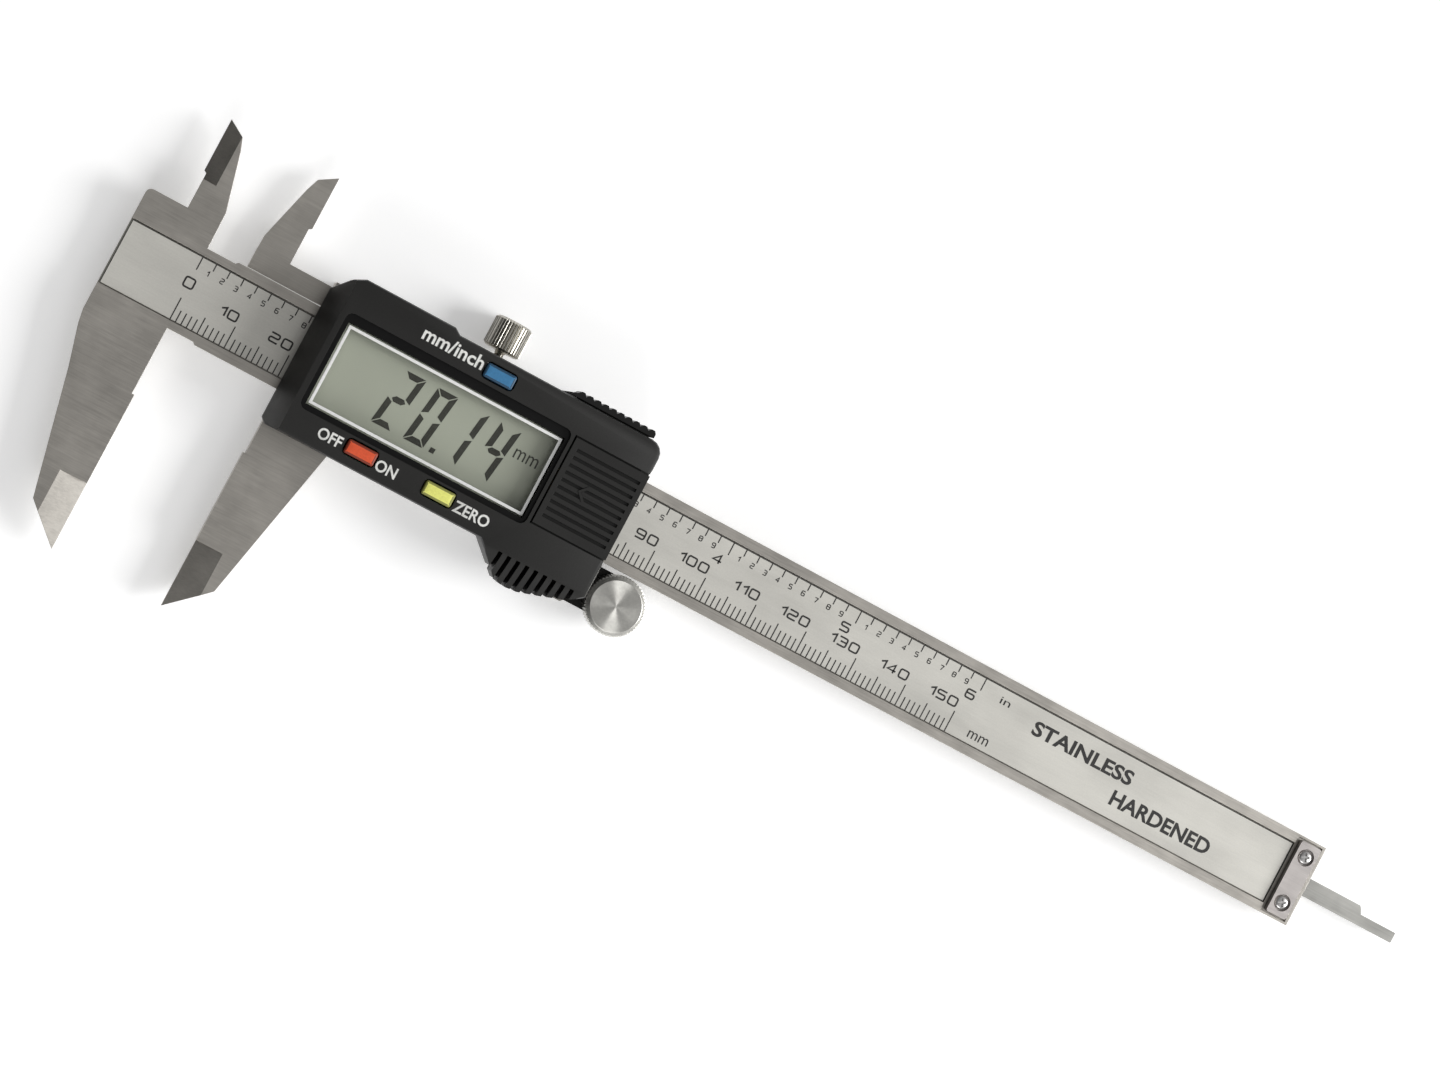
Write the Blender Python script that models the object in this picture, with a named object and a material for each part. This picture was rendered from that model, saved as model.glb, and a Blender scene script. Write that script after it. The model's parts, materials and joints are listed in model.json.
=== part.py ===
"""Digital caliper with a 150 mm range, standing open by the value on its display.

The beam carries the fixed jaws and the scale. The slider carries the moving jaws, the
depth rod, the display and the keys, and runs along the beam.

X runs along the beam towards the depth rod's tip, Y towards the inside jaws and Z out of
the display. Outlines of the beam start at the fixed jaw's measuring face, those of the
slider at the moving jaw's measuring face. Y starts at the beam's lower edge, Z at its back.
"""

import math

import bmesh
import bpy
from mathutils import Vector

MM = 0.001

# Driving dimensions
MEASURING_RANGE = 150.0 * MM
OPENING = 20.14 * MM
GAP = 0.3 * MM
CUT_PAST = 1.0 * MM  # how far a cutter runs past the surface that it cuts

# Beam
BEAM_WIDTH = 15.5 * MM
BEAM_THICKNESS = 4.0 * MM
HEAD_LENGTH = 13.96 * MM  # from the fixed jaw's measuring face to the beam's left end
TAIL_PAST_SLIDER = 10.84 * MM  # from the slider at the end of its range to the beam's right end
EDGE_RELIEF = 0.4 * MM
EDGE_RELIEF_LENGTH = 4.8 * MM
RECESS_DEPTH = 1.5 * MM
RECESS_EDGE = 1.75 * MM  # from each edge of the beam to the scale's recess
LABEL_THICKNESS = 0.25 * MM
LABEL_SIDE_GAP = 0.2 * MM
BOARD_STRIP_THICKNESS = 0.4 * MM

# Jaws
JAW_DEPTH = 40.8 * MM
JAW_ROOT_WIDTH = 13.56 * MM
JAW_END_WIDTH = 6.6 * MM
JAW_FACE_LENGTH = 28.9 * MM  # ground length of a measuring face, from the tip
JAW_FACE_RELIEF = 0.46 * MM
JAW_END_BEVEL = 6.2 * MM
JAW_THIN_LENGTH = 12.4 * MM
JAW_THIN_WIDTH = 4.9 * MM
JAW_THIN_DEPTH = 1.4 * MM

# Inside jaws
NIB_OFFSET = 7.26 * MM  # both measuring edges stand this far left of their jaw's face
NIB_RISE = 20.4 * MM  # from the beam's upper edge to the tip
NIB_EDGE_LENGTH = 9.6 * MM
NIB_SHOULDER_DROP = 4.1 * MM  # from the tip down to the outer edge's bends
NIB_WAIST_DROP = 14.2 * MM
NIB_RELIEF = 0.5 * MM
NIB_BEVEL_WIDTH = 2.9 * MM
NIB_EDGE_THICKNESS = 0.5 * MM
HEAD_BLOCK_RISE = 4.0 * MM
HEAD_CORNER = 1.0 * MM

# Depth rod and its channel in the back of the beam
ROD_WIDTH = 3.4 * MM
ROD_THICKNESS = 1.4 * MM
ROD_START_INSET = 12.8 * MM  # from the slider's right end to the rod's held end
ROD_TIP_LENGTH = 8.0 * MM
ROD_TIP_WIDTH = 2.0 * MM
CHANNEL_DEPTH = 1.9 * MM
ROD_PIN_INSET = 3.5 * MM  # from the rod's held end
CHANNEL_LEAD = 3.0 * MM
ROD_PIN_RADIUS = 0.7 * MM

# End stop
STOP_LENGTH = 4.1 * MM
STOP_EDGE = 0.75 * MM  # from each edge of the beam to the plate
STOP_THICKNESS = 1.0 * MM
STOP_END_WALL = 0.9 * MM
STOP_POCKET_DEPTH = 0.6 * MM
STOP_SCREW_SPACING = 9.0 * MM

# Slider frame
SLIDER_LENGTH = 60.8 * MM
BACK_PLATE_THICKNESS = 1.6 * MM
LOWER_RAIL_WIDTH = 4.2 * MM
UPPER_RAIL_WIDTH = 3.3 * MM
RAIL_LEFT = 0.4 * MM
RAIL_STOP_LENGTH = 2.9 * MM  # block at each end of the upper rail, which keeps the gib in
GIB_THICKNESS = 1.0 * MM
GIB_EDGE = 0.3 * MM  # how much narrower than the beam's edge the strip is, on each side
NIB_BLOCK_RISE = 3.9 * MM
GRIP_TAB_DROP = 9.3 * MM
GRIP_TAB_LENGTH = 16.8 * MM
LABEL_POCKET_LEFT = 4.0 * MM
LABEL_POCKET_EDGE = 1.5 * MM  # from each edge of the beam
LABEL_POCKET_DEPTH = 0.5 * MM
BACK_LABEL_THICKNESS = 0.18 * MM

# Housing
HOUSING_LEFT = -0.2 * MM
HOUSING_BELOW = 6.0 * MM  # below the beam's lower edge
HOUSING_ABOVE = 6.5 * MM  # above its upper edge
HOUSING_SEAT_GAP = 0.4 * MM
HOUSING_WALL = 1.6 * MM
FRONT_WALL = 1.7 * MM
TOP_STEP = 0.8 * MM
TOP_STEP_RIGHT = 20.6 * MM
LEFT_SLOPE = (2.9 * MM, 5.7 * MM)  # across and down
CORNER_RADIUS = 2.4 * MM
FRONT_EDGE = 0.7 * MM
GRIP_LENGTH = 20.2 * MM
GRIP_DROP = 5.4 * MM
GRIP_SLOPE = 3.7 * MM
GRIP_RIB_PITCH = 1.7 * MM
GRIP_RIBS = 9
GRIP_NOTCH = (0.7 * MM, 0.6 * MM)  # width and depth

# Display
FRAME_LEFT = 5.0 * MM
FRAME_RIGHT_GAP = 1.8 * MM  # to the battery cover
FRAME_BOTTOM = 0.45 * MM
FRAME_TOP_DROP = 0.6 * MM  # from the beam's upper edge
FRAME_BORDER = 0.5 * MM
FRAME_THICKNESS = 0.6 * MM
RIM_X = (1.2 * MM, 0.9 * MM)  # of the recess beyond the frame, left and right
RIM_Y = (1.3 * MM, 1.95 * MM)  # below and above
WINDOW_RECESS_DEPTH = 0.9 * MM
WINDOW_LAP = 0.8 * MM
WINDOW_THICKNESS = 1.0 * MM
GLASS_THICKNESS = 1.5 * MM
GLASS_INSET = 0.3 * MM
CARRIER_WALL = 0.45 * MM
CONTACT_STRIP_WIDTH = 1.2 * MM
CONTACT_STRIP_INSET = 1.3 * MM

# Circuit board
BOARD_THICKNESS = 0.8 * MM
CHIP_OFFSET = -3.0 * MM  # from the display's middle
CRYSTAL_OFFSET = 9.0 * MM
CRYSTAL_RADIUS = 1.0 * MM
CRYSTAL_LENGTH = 6.0 * MM
CONNECTOR_X = (14.3 * MM, 6.3 * MM)  # its ends, from the slider's right end
CONNECTOR_HEIGHT = 2.6 * MM

# Keys
KEY_SIZE = (5.4 * MM, 2.5 * MM)
KEY_TRAVEL = 0.5 * MM
KEY_PROUD = 0.4 * MM
KEY_FLANGE = 0.5 * MM
KEY_FLANGE_THICKNESS = 0.6 * MM
LOWER_KEY_DROP = 2.8 * MM  # below the beam's lower edge
UPPER_KEY_RISE = 3.6 * MM  # above its upper edge
SWITCH_RADIUS = 1.5 * MM
SWITCH_HEIGHT = 1.0 * MM

# Button cell and its cover
BATTERY_RADIUS = 5.8 * MM
BATTERY_HEIGHT = 5.4 * MM
BATTERY_CLEARANCE = 0.4 * MM  # to the housing's wall and to the cover's left edge
CONTACT_THICKNESS = 0.3 * MM
COVER_BOTTOM = 0.4 * MM
COVER_RISE = 0.8 * MM  # above the beam's upper edge
COVER_THICKNESS = 1.4 * MM
COVER_TONGUE = (0.6 * MM, 0.6 * MM)  # width and thickness
COVER_RIB_PITCH = 1.35 * MM
COVER_RIBS = 10
COVER_GROOVE = (0.55 * MM, 0.4 * MM)  # width and depth

# Data port cover
PORT_INSET = (17.0 * MM, 2.2 * MM)  # its ends, from the slider's right end
PORT_SIDE = (1.2 * MM, 1.6 * MM)  # from the housing's rear and front
PORT_THICKNESS = 0.7 * MM
PORT_TEETH = 10
PORT_TOOTH_HEIGHT = 0.5 * MM
PORT_LEAD_IN = 2.0 * MM
PORT_TONGUE_SIDE = 1.7 * MM  # from each side of the cover
PORT_TONGUE_DEPTH = 1.1 * MM

# Lock screw
LOCK_OFFSET = 5.0 * MM  # from the display's middle
LOCK_HEAD_RADIUS = 3.4 * MM
LOCK_HEAD_LENGTH = 5.6 * MM
LOCK_HEAD_CLEARANCE = 1.25 * MM  # between the housing's top and the head
LOCK_SHANK_RADIUS = 0.9 * MM
LOCK_PAD_RADIUS = 1.1 * MM
LOCK_PAD_THICKNESS = 0.8 * MM

# Thumb roller
ROLLER_RADIUS = 5.3 * MM
ROLLER_THICKNESS = 4.8 * MM
ROLLER_REACH = 6.5 * MM  # from the slider's right end to the roller's axis
ROLLER_BORE_RADIUS = 1.3 * MM
ROLLER_FRONT_WALL = 0.6 * MM
BRACKET_THICKNESS = 1.0 * MM
BRACKET_LAP = 14.8 * MM  # under the slider's grip
RIVET_RADIUS = 0.8 * MM

# Small screws
SCREW_SHANK = 0.7 * MM
SCREW_HEAD = 1.5 * MM
SCREW_HEAD_HEIGHT = 0.8 * MM
STOP_SCREW_HEAD = 1.25 * MM
SLOT_LENGTH = 1.5 * MM
SLOT_WIDTH = 0.4 * MM
SLOT_DEPTH = 0.3 * MM
GIB_SCREW_RADIUS = 1.0 * MM
GIB_SCREW_LENGTH = 2.6 * MM
GIB_SCREW_INSET = (14.0 * MM, 14.8 * MM)  # from the slider's left and right ends
HOUSING_SCREW_INSET = (6.2 * MM, 3.8 * MM)
BOARD_SCREW_OFFSET = 13.0 * MM  # from the display's middle
LOWER_SCREW_RISE = 1.9 * MM  # from the lower rail's edge
BOSS_RADIUS = 1.6 * MM

# Derived places along the beam
TAIL_LENGTH = SLIDER_LENGTH + TAIL_PAST_SLIDER
BEAM_END = MEASURING_RANGE + TAIL_LENGTH
STOP_RIGHT = BEAM_END - STOP_END_WALL
STOP_LEFT = STOP_RIGHT - STOP_LENGTH
RECESS_RIGHT = STOP_LEFT - 0.6 * MM

# Derived places along the slider
CAVITY_LEFT = LEFT_SLOPE[0] + 0.5 * MM
CAVITY_RIGHT = SLIDER_LENGTH - HOUSING_WALL
BATTERY_X = CAVITY_RIGHT - BATTERY_CLEARANCE - BATTERY_RADIUS
COVER_LEFT = BATTERY_X - BATTERY_RADIUS - BATTERY_CLEARANCE
FRAME_X = (FRAME_LEFT, COVER_LEFT - FRAME_RIGHT_GAP)
RECESS_X = (FRAME_X[0] - RIM_X[0], FRAME_X[1] + RIM_X[1])
GLASS_X = (FRAME_X[0] - GLASS_INSET, FRAME_X[1] + GLASS_INSET)
DISPLAY_MIDDLE = (FRAME_X[0] + FRAME_X[1]) / 2
PORT_X = (SLIDER_LENGTH - PORT_INSET[0], SLIDER_LENGTH - PORT_INSET[1])
LOCK_X = DISPLAY_MIDDLE + LOCK_OFFSET
GIB_SCREW_X = (GIB_SCREW_INSET[0], SLIDER_LENGTH - GIB_SCREW_INSET[1])
HOUSING_SCREW_X = (HOUSING_SCREW_INSET[0], SLIDER_LENGTH - HOUSING_SCREW_INSET[1])
BOARD_SCREW_X = DISPLAY_MIDDLE + BOARD_SCREW_OFFSET
GRIP_LEFT = SLIDER_LENGTH - GRIP_LENGTH
GRIP_TAB_LEFT = SLIDER_LENGTH - GRIP_TAB_LENGTH
BRACKET_LEFT = SLIDER_LENGTH - BRACKET_LAP
ROD_START = SLIDER_LENGTH - ROD_START_INSET
ROD_PIN_X = ROD_START + ROD_PIN_INSET
ROLLER_X = SLIDER_LENGTH + ROLLER_REACH

# Derived heights along Y
MIDDLE_Y = BEAM_WIDTH / 2
RECESS_Y_RANGE = (RECESS_EDGE, BEAM_WIDTH - RECESS_EDGE)
STOP_Y_RANGE = (STOP_EDGE, BEAM_WIDTH - STOP_EDGE)
NIB_HEIGHT = BEAM_WIDTH + NIB_RISE
NIB_EDGE_START = NIB_HEIGHT - NIB_EDGE_LENGTH
HEAD_BLOCK_HEIGHT = BEAM_WIDTH + HEAD_BLOCK_RISE
NIB_BLOCK_HEIGHT = BEAM_WIDTH + NIB_BLOCK_RISE
LOWER_RAIL_BOTTOM = -GAP - LOWER_RAIL_WIDTH
GIB_Y = BEAM_WIDTH + GAP
UPPER_RAIL_BOTTOM = GIB_Y + GIB_THICKNESS + GAP
UPPER_RAIL_TOP = UPPER_RAIL_BOTTOM + UPPER_RAIL_WIDTH
LOWER_SCREW_Y = LOWER_RAIL_BOTTOM + LOWER_SCREW_RISE
UPPER_SCREW_Y = (UPPER_RAIL_BOTTOM + UPPER_RAIL_TOP) / 2
HOUSING_BOTTOM = -HOUSING_BELOW
HOUSING_TOP = BEAM_WIDTH + HOUSING_ABOVE
CAVITY_BOTTOM = HOUSING_BOTTOM + 1.4 * MM
CAVITY_TOP = HOUSING_TOP - 1.4 * MM
FRAME_Y = (FRAME_BOTTOM, BEAM_WIDTH - FRAME_TOP_DROP)
RECESS_Y = (FRAME_Y[0] - RIM_Y[0], FRAME_Y[1] + RIM_Y[1])
GLASS_Y = (FRAME_Y[0] - GLASS_INSET, FRAME_Y[1] + GLASS_INSET)
COVER_Y = (COVER_BOTTOM, BEAM_WIDTH + COVER_RISE)
BATTERY_Y = (COVER_Y[0] + COVER_Y[1]) / 2
PORT_SEAT = HOUSING_TOP + GAP
ROLLER_Y = -GAP - ROLLER_RADIUS
LOCK_HEAD_Y = HOUSING_TOP + LOCK_HEAD_CLEARANCE
LABEL_POCKET = (
    LABEL_POCKET_LEFT,
    ROD_START - CHANNEL_LEAD,
    LABEL_POCKET_EDGE,
    BEAM_WIDTH - LABEL_POCKET_EDGE,
)
KEYS = {
    "mm_inch": (DISPLAY_MIDDLE + 5.7 * MM, BEAM_WIDTH + UPPER_KEY_RISE, "blue plastic"),
    "off_on": (DISPLAY_MIDDLE - 8.6 * MM, -LOWER_KEY_DROP, "red plastic"),
    "zero": (DISPLAY_MIDDLE + 5.85 * MM, -LOWER_KEY_DROP, "yellow plastic"),
}

# Derived levels along Z
MIDDLE_Z = BEAM_THICKNESS / 2
BACK = -GAP - BACK_PLATE_THICKNESS
RECESS_FLOOR = BEAM_THICKNESS - RECESS_DEPTH
HOUSING_REAR = BEAM_THICKNESS + HOUSING_SEAT_GAP
BOARD_BACK = HOUSING_REAR
BOARD_FRONT = BOARD_BACK + BOARD_THICKNESS
BOARD_STAND_OFF = BOARD_FRONT + GAP
BATTERY_BACK = BOARD_STAND_OFF + CONTACT_THICKNESS + GAP
BATTERY_FRONT = BATTERY_BACK + BATTERY_HEIGHT
COVER_BACK = BATTERY_FRONT + GAP
HOUSING_FRONT = COVER_BACK + COVER_THICKNESS
CEILING = HOUSING_FRONT - FRONT_WALL
WINDOW_BACK = CEILING - GAP - WINDOW_THICKNESS
GLASS_FRONT = WINDOW_BACK - GAP
GLASS_BACK = GLASS_FRONT - GLASS_THICKNESS
CARRIER_GAP = GAP + CARRIER_WALL
SWITCH_FRONT = BOARD_STAND_OFF + SWITCH_HEIGHT
PORT_Z = (HOUSING_REAR + PORT_SIDE[0], HOUSING_FRONT - PORT_SIDE[1])
PORT_TONGUE_Z = (PORT_Z[0] + PORT_TONGUE_SIDE, PORT_Z[1] - PORT_TONGUE_SIDE)
ROLLER_BACK = BRACKET_THICKNESS + GAP
SCREW_HOLE = SCREW_SHANK + GAP

FINISHES = {
    # colour, metallic, roughness
    "satin steel": ((0.52, 0.51, 0.48), 1.0, 0.38),
    "bright steel": ((0.72, 0.71, 0.69), 1.0, 0.22),
    "black steel": ((0.05, 0.05, 0.05), 1.0, 0.45),
    "scale print": ((0.62, 0.60, 0.55), 0.3, 0.5),
    "board green": ((0.05, 0.18, 0.09), 0.0, 0.5),
    "brass": ((0.78, 0.58, 0.28), 1.0, 0.35),
    "black plastic": ((0.035, 0.035, 0.033), 0.0, 0.55),
    "white plastic": ((0.8, 0.8, 0.77), 0.0, 0.4),
    "clear plastic": ((0.9, 0.92, 0.9), 0.0, 0.08),
    "display grey": ((0.35, 0.37, 0.31), 0.0, 0.3),
    "black rubber": ((0.03, 0.03, 0.03), 0.0, 0.8),
    "blue plastic": ((0.05, 0.23, 0.5), 0.0, 0.4),
    "red plastic": ((0.75, 0.1, 0.03), 0.0, 0.4),
    "yellow plastic": ((0.72, 0.75, 0.07), 0.0, 0.4),
    "label grey": ((0.6, 0.6, 0.6), 0.2, 0.5),
}


# Building blocks


def finish(name):
    """The named material, made when it is first asked for."""
    if name in bpy.data.materials:
        return bpy.data.materials[name]
    colour, metallic, roughness = FINISHES[name]
    made = bpy.data.materials.new(name)
    made.use_nodes = True
    shader = made.node_tree.nodes["Principled BSDF"]
    shader.inputs["Base Color"].default_value = (*colour, 1.0)
    shader.inputs["Metallic"].default_value = metallic
    shader.inputs["Roughness"].default_value = roughness
    made.diffuse_color = (*colour, 1.0)
    return made


def empty(name, parent, place):
    """An empty that carries the pieces of one moving group."""
    made = bpy.data.objects.new(name, None)
    bpy.context.collection.objects.link(made)
    made.parent = parent
    made.location = place
    return made


def add_object(name, mesh, parent, finish_name=None, place=(0, 0, 0)):
    made = bpy.data.objects.new(name, mesh)
    bpy.context.collection.objects.link(made)
    made.parent = parent
    made.location = place
    if finish_name and not mesh.materials:
        mesh.materials.append(finish(finish_name))
    if finish_name is None:
        made.hide_render = True
        made.display_type = "WIRE"
    return made


def placed(across, up, along, axis):
    """The point of an outline that lies across and up, taken along the named axis."""
    return {"X": (along, across, up), "Y": (across, along, up), "Z": (across, up, along)}[axis]


def extruded(outlines, low, high, axis="Z", front_edge=0.0):
    """A mesh of one upright solid for each outline, with its front edge rounded if asked."""
    shape = bmesh.new()
    for outline in outlines:
        corners = [shape.verts.new(placed(across, up, low, axis)) for across, up in outline]
        base = shape.faces.new(corners)
        raised = bmesh.ops.extrude_face_region(shape, geom=[base])["geom"]
        moved = [item for item in raised if isinstance(item, bmesh.types.BMVert)]
        bmesh.ops.translate(shape, vec=Vector(placed(0, 0, high - low, axis)), verts=moved)
        if front_edge:
            rim = [edge for edge in raised if isinstance(edge, bmesh.types.BMEdge)]
            rounded = bmesh.ops.bevel(
                shape, geom=rim, offset=front_edge, segments=2, profile=0.5, affect="EDGES"
            )
            # Flat triangles keep the later cuts exact where a corner's strips aren't quite flat.
            bmesh.ops.triangulate(shape, faces=rounded["faces"])
    bmesh.ops.recalc_face_normals(shape, faces=shape.faces)
    mesh = bpy.data.meshes.new("extruded")
    shape.to_mesh(mesh)
    shape.free()
    return mesh


def turned(profile, axis="Z", sides=24):
    """A mesh spun from (radius, height) pairs that start and end on the axis."""
    shape = bmesh.new()
    points = [shape.verts.new(placed(radius, 0, height, axis)) for radius, height in profile]
    edges = [shape.edges.new(pair) for pair in zip(points, points[1:])]
    bmesh.ops.spin(
        shape,
        geom=points + edges,
        axis=Vector(placed(0, 0, 1, axis)),
        cent=(0, 0, 0),
        angle=math.tau,
        steps=sides,
    )
    bmesh.ops.remove_doubles(shape, verts=shape.verts, dist=0.001 * MM)
    bmesh.ops.recalc_face_normals(shape, faces=shape.faces)
    mesh = bpy.data.meshes.new("turned")
    shape.to_mesh(mesh)
    shape.free()
    mesh.shade_smooth()
    mesh.set_sharp_from_angle(angle=math.radians(30))
    return mesh


def rectangle(left, right, bottom, top):
    return [(left, bottom), (right, bottom), (right, top), (left, top)]


def arc(centre, radius, start, end, steps):
    """Points of an arc, with its angles in degrees."""
    turns = [math.radians(start + (end - start) * step / steps) for step in range(steps + 1)]
    return [(centre[0] + radius * math.cos(a), centre[1] + radius * math.sin(a)) for a in turns]


def circle(centre, radius, sides=24):
    return arc(centre, radius, 0, 360, sides)[:-1]


def rounded_rectangle(left, right, bottom, top, radius, steps=3):
    corners = (
        (right - radius, bottom + radius, -90),
        (right - radius, top - radius, 0),
        (left + radius, top - radius, 90),
        (left + radius, bottom + radius, 180),
    )
    points = []
    for across, up, start in corners:
        points += arc((across, up), radius, start, start + 90, steps)
    return points


def combine(target, other, operation):
    change = target.modifiers.new(f"{operation.lower()} {other.name}", "BOOLEAN")
    change.operation = operation
    change.solver = "EXACT"
    change.object = other


def cut(target, name, mesh, place=(0, 0, 0)):
    combine(target, add_object(f"{target.name} {name}", mesh, target.parent, None, place), "DIFFERENCE")


def join(target, name, mesh, place=(0, 0, 0)):
    combine(target, add_object(f"{target.name} {name}", mesh, target.parent, None, place), "UNION")


def drill(target, name, centre, radius, low, high, axis="Z", sides=16):
    cut(target, name, extruded([circle(centre, radius, sides)], low, high, axis))


def cross_slot(target, height):
    """A cross slot in the top of a screw head, whose axis passes through its origin."""
    long_half = SLOT_LENGTH / 2
    thin_half = SLOT_WIDTH / 2
    outline = []
    for quarter in range(4):
        turn = math.radians(90 * quarter)
        for across, up in ((long_half, -thin_half), (long_half, thin_half), (thin_half, thin_half)):
            outline.append(
                (
                    across * math.cos(turn) - up * math.sin(turn),
                    across * math.sin(turn) + up * math.cos(turn),
                )
            )
    cutter = extruded([outline], height - SLOT_DEPTH, height + CUT_PAST)
    cut(target, "cross slot", cutter, target.location)


# Beam


def jaw_outline(side, relief, top):
    """A jaw's outline from the top of its face down to the tip and up its outer edge.

    side is -1 for the fixed jaw, whose outer edge is on the left, and 1 for the moving one.
    """
    return [
        (side * relief, top),
        (side * relief, JAW_FACE_LENGTH - JAW_DEPTH),
        (0, JAW_FACE_LENGTH - JAW_DEPTH),
        (0, -JAW_DEPTH),
        (side * JAW_END_WIDTH, JAW_END_BEVEL - JAW_DEPTH),
    ]


def thin_jaw_tip(target, side):
    """Grinds the tip thinner towards its measuring face, on the front and on the back."""
    top = JAW_THIN_LENGTH - JAW_DEPTH
    slope = JAW_THIN_DEPTH / JAW_THIN_WIDTH
    past = CUT_PAST * slope
    for name, surface, out in (("front", BEAM_THICKNESS, 1), ("back", 0, -1)):
        wedge = [
            (side * JAW_THIN_WIDTH, surface),
            (-side * CUT_PAST, surface - out * (JAW_THIN_DEPTH + past)),
            (-side * CUT_PAST, surface + out * CUT_PAST),
            (side * JAW_THIN_WIDTH, surface + out * CUT_PAST),
        ]
        cut(target, f"thin tip {name}", extruded([wedge], -JAW_DEPTH - CUT_PAST, top, "Y"))


def nib_outline(side_x, base):
    """An inside jaw's outline, from its inner root over the tip to its measuring edge.

    side_x mirrors it: 1 for the fixed one, -1 for the moving one, about its measuring edge.
    """
    points = [
        (6.5 * MM, base),
        (6.4 * MM, NIB_HEIGHT - NIB_WAIST_DROP),
        (3.8 * MM, NIB_HEIGHT - NIB_SHOULDER_DROP),
        (3.0 * MM, NIB_HEIGHT - 1.9 * MM),
        (0, NIB_HEIGHT),
        (0, NIB_EDGE_START),
        (NIB_RELIEF, NIB_EDGE_START - 0.3 * MM),
        (NIB_RELIEF, base),
    ]
    return [(-NIB_OFFSET + side_x * across, up) for across, up in points]


def bevel_nib(target, side_x, outer, out):
    """Grinds an inside jaw thin towards its measuring edge. outer is its outer surface."""
    depth = BEAM_THICKNESS / 2 - GAP / 2 - NIB_EDGE_THICKNESS
    past = CUT_PAST * depth / NIB_BEVEL_WIDTH
    wedge = [
        (-NIB_OFFSET + side_x * NIB_BEVEL_WIDTH, outer),
        (-NIB_OFFSET - side_x * CUT_PAST, outer - out * (depth + past)),
        (-NIB_OFFSET - side_x * CUT_PAST, outer + out * CUT_PAST),
        (-NIB_OFFSET + side_x * NIB_BEVEL_WIDTH, outer + out * CUT_PAST),
    ]
    start = NIB_EDGE_START - 1.4 * MM
    cut(target, "thin edge", extruded([wedge], start, NIB_HEIGHT + CUT_PAST, "Y"))


def make_beam(root):
    relief_end = EDGE_RELIEF_LENGTH - EDGE_RELIEF
    outline = [
        (BEAM_END, 0),
        (BEAM_END, BEAM_WIDTH),
        (EDGE_RELIEF_LENGTH, BEAM_WIDTH),
        (relief_end, BEAM_WIDTH - EDGE_RELIEF),
        (-1.5 * MM, BEAM_WIDTH - EDGE_RELIEF),
        (-1.5 * MM, BEAM_WIDTH),
        (-HEAD_LENGTH, BEAM_WIDTH),
        (-HEAD_LENGTH, -3.2 * MM),
        (-JAW_ROOT_WIDTH, -5.65 * MM),
        (-JAW_ROOT_WIDTH + 2.0 * MM, -12.9 * MM),
    ]
    outline += reversed(jaw_outline(-1, JAW_FACE_RELIEF, EDGE_RELIEF))
    outline += [(relief_end, EDGE_RELIEF), (EDGE_RELIEF_LENGTH, 0)]
    beam = add_object("beam", extruded([outline], 0, BEAM_THICKNESS), root, "satin steel")

    inside = BEAM_WIDTH - 1.0 * MM
    corner = (-HEAD_LENGTH + HEAD_CORNER, HEAD_BLOCK_HEIGHT - HEAD_CORNER)
    block = [(-NIB_OFFSET + 2.0 * MM, inside), (-NIB_OFFSET + 2.0 * MM, HEAD_BLOCK_HEIGHT)]
    block += arc(corner, HEAD_CORNER, 90, 180, 3) + [(-HEAD_LENGTH, inside)]
    front_half = MIDDLE_Z + GAP / 2
    join(beam, "head block", extruded([block], front_half, BEAM_THICKNESS))
    join(beam, "inside jaw", extruded([nib_outline(1, inside)], front_half, BEAM_THICKNESS))
    bevel_nib(beam, 1, BEAM_THICKNESS, 1)
    thin_jaw_tip(beam, -1)

    past_left = -HEAD_LENGTH - CUT_PAST
    above = BEAM_THICKNESS + CUT_PAST
    recess = rectangle(past_left, RECESS_RIGHT, *RECESS_Y_RANGE)
    cut(beam, "scale recess", extruded([recess], RECESS_FLOOR, above))
    low, high = STOP_Y_RANGE
    pocket = rectangle(RECESS_RIGHT - 0.1 * MM, STOP_RIGHT + GAP, low - GAP, high + GAP)
    cut(beam, "stop pocket", extruded([pocket], BEAM_THICKNESS - STOP_POCKET_DEPTH, above))
    half = ROD_WIDTH / 2 + GAP
    channel = rectangle(
        ROD_START - CHANNEL_LEAD, BEAM_END + CUT_PAST, MIDDLE_Y - half, MIDDLE_Y + half
    )
    cut(beam, "rod channel", extruded([channel], -CUT_PAST, CHANNEL_DEPTH))
    for side, centre in stop_screw_places():
        drill(beam, f"screw hole {side}", centre, SCREW_HOLE, 1.2 * MM, above)
    return beam


def stop_screw_places():
    """Side name and centre of each screw of the end stop."""
    across = (STOP_LEFT + STOP_RIGHT) / 2
    half = STOP_SCREW_SPACING / 2
    return (("lower", (across, MIDDLE_Y - half)), ("upper", (across, MIDDLE_Y + half)))


def make_scale(root):
    left = -HEAD_LENGTH + GAP
    right = RECESS_RIGHT - GAP
    low, high = RECESS_Y_RANGE
    strip = rectangle(left, right, low + LABEL_SIDE_GAP, high - LABEL_SIDE_GAP)
    board_back = RECESS_FLOOR + GAP
    board_front = board_back + BOARD_STRIP_THICKNESS
    add_object("scale_board", extruded([strip], board_back, board_front), root, "board green")
    label_back = board_front + GAP
    label = extruded([strip], label_back, label_back + LABEL_THICKNESS)
    add_object("scale_label", label, root, "scale print")


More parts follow.
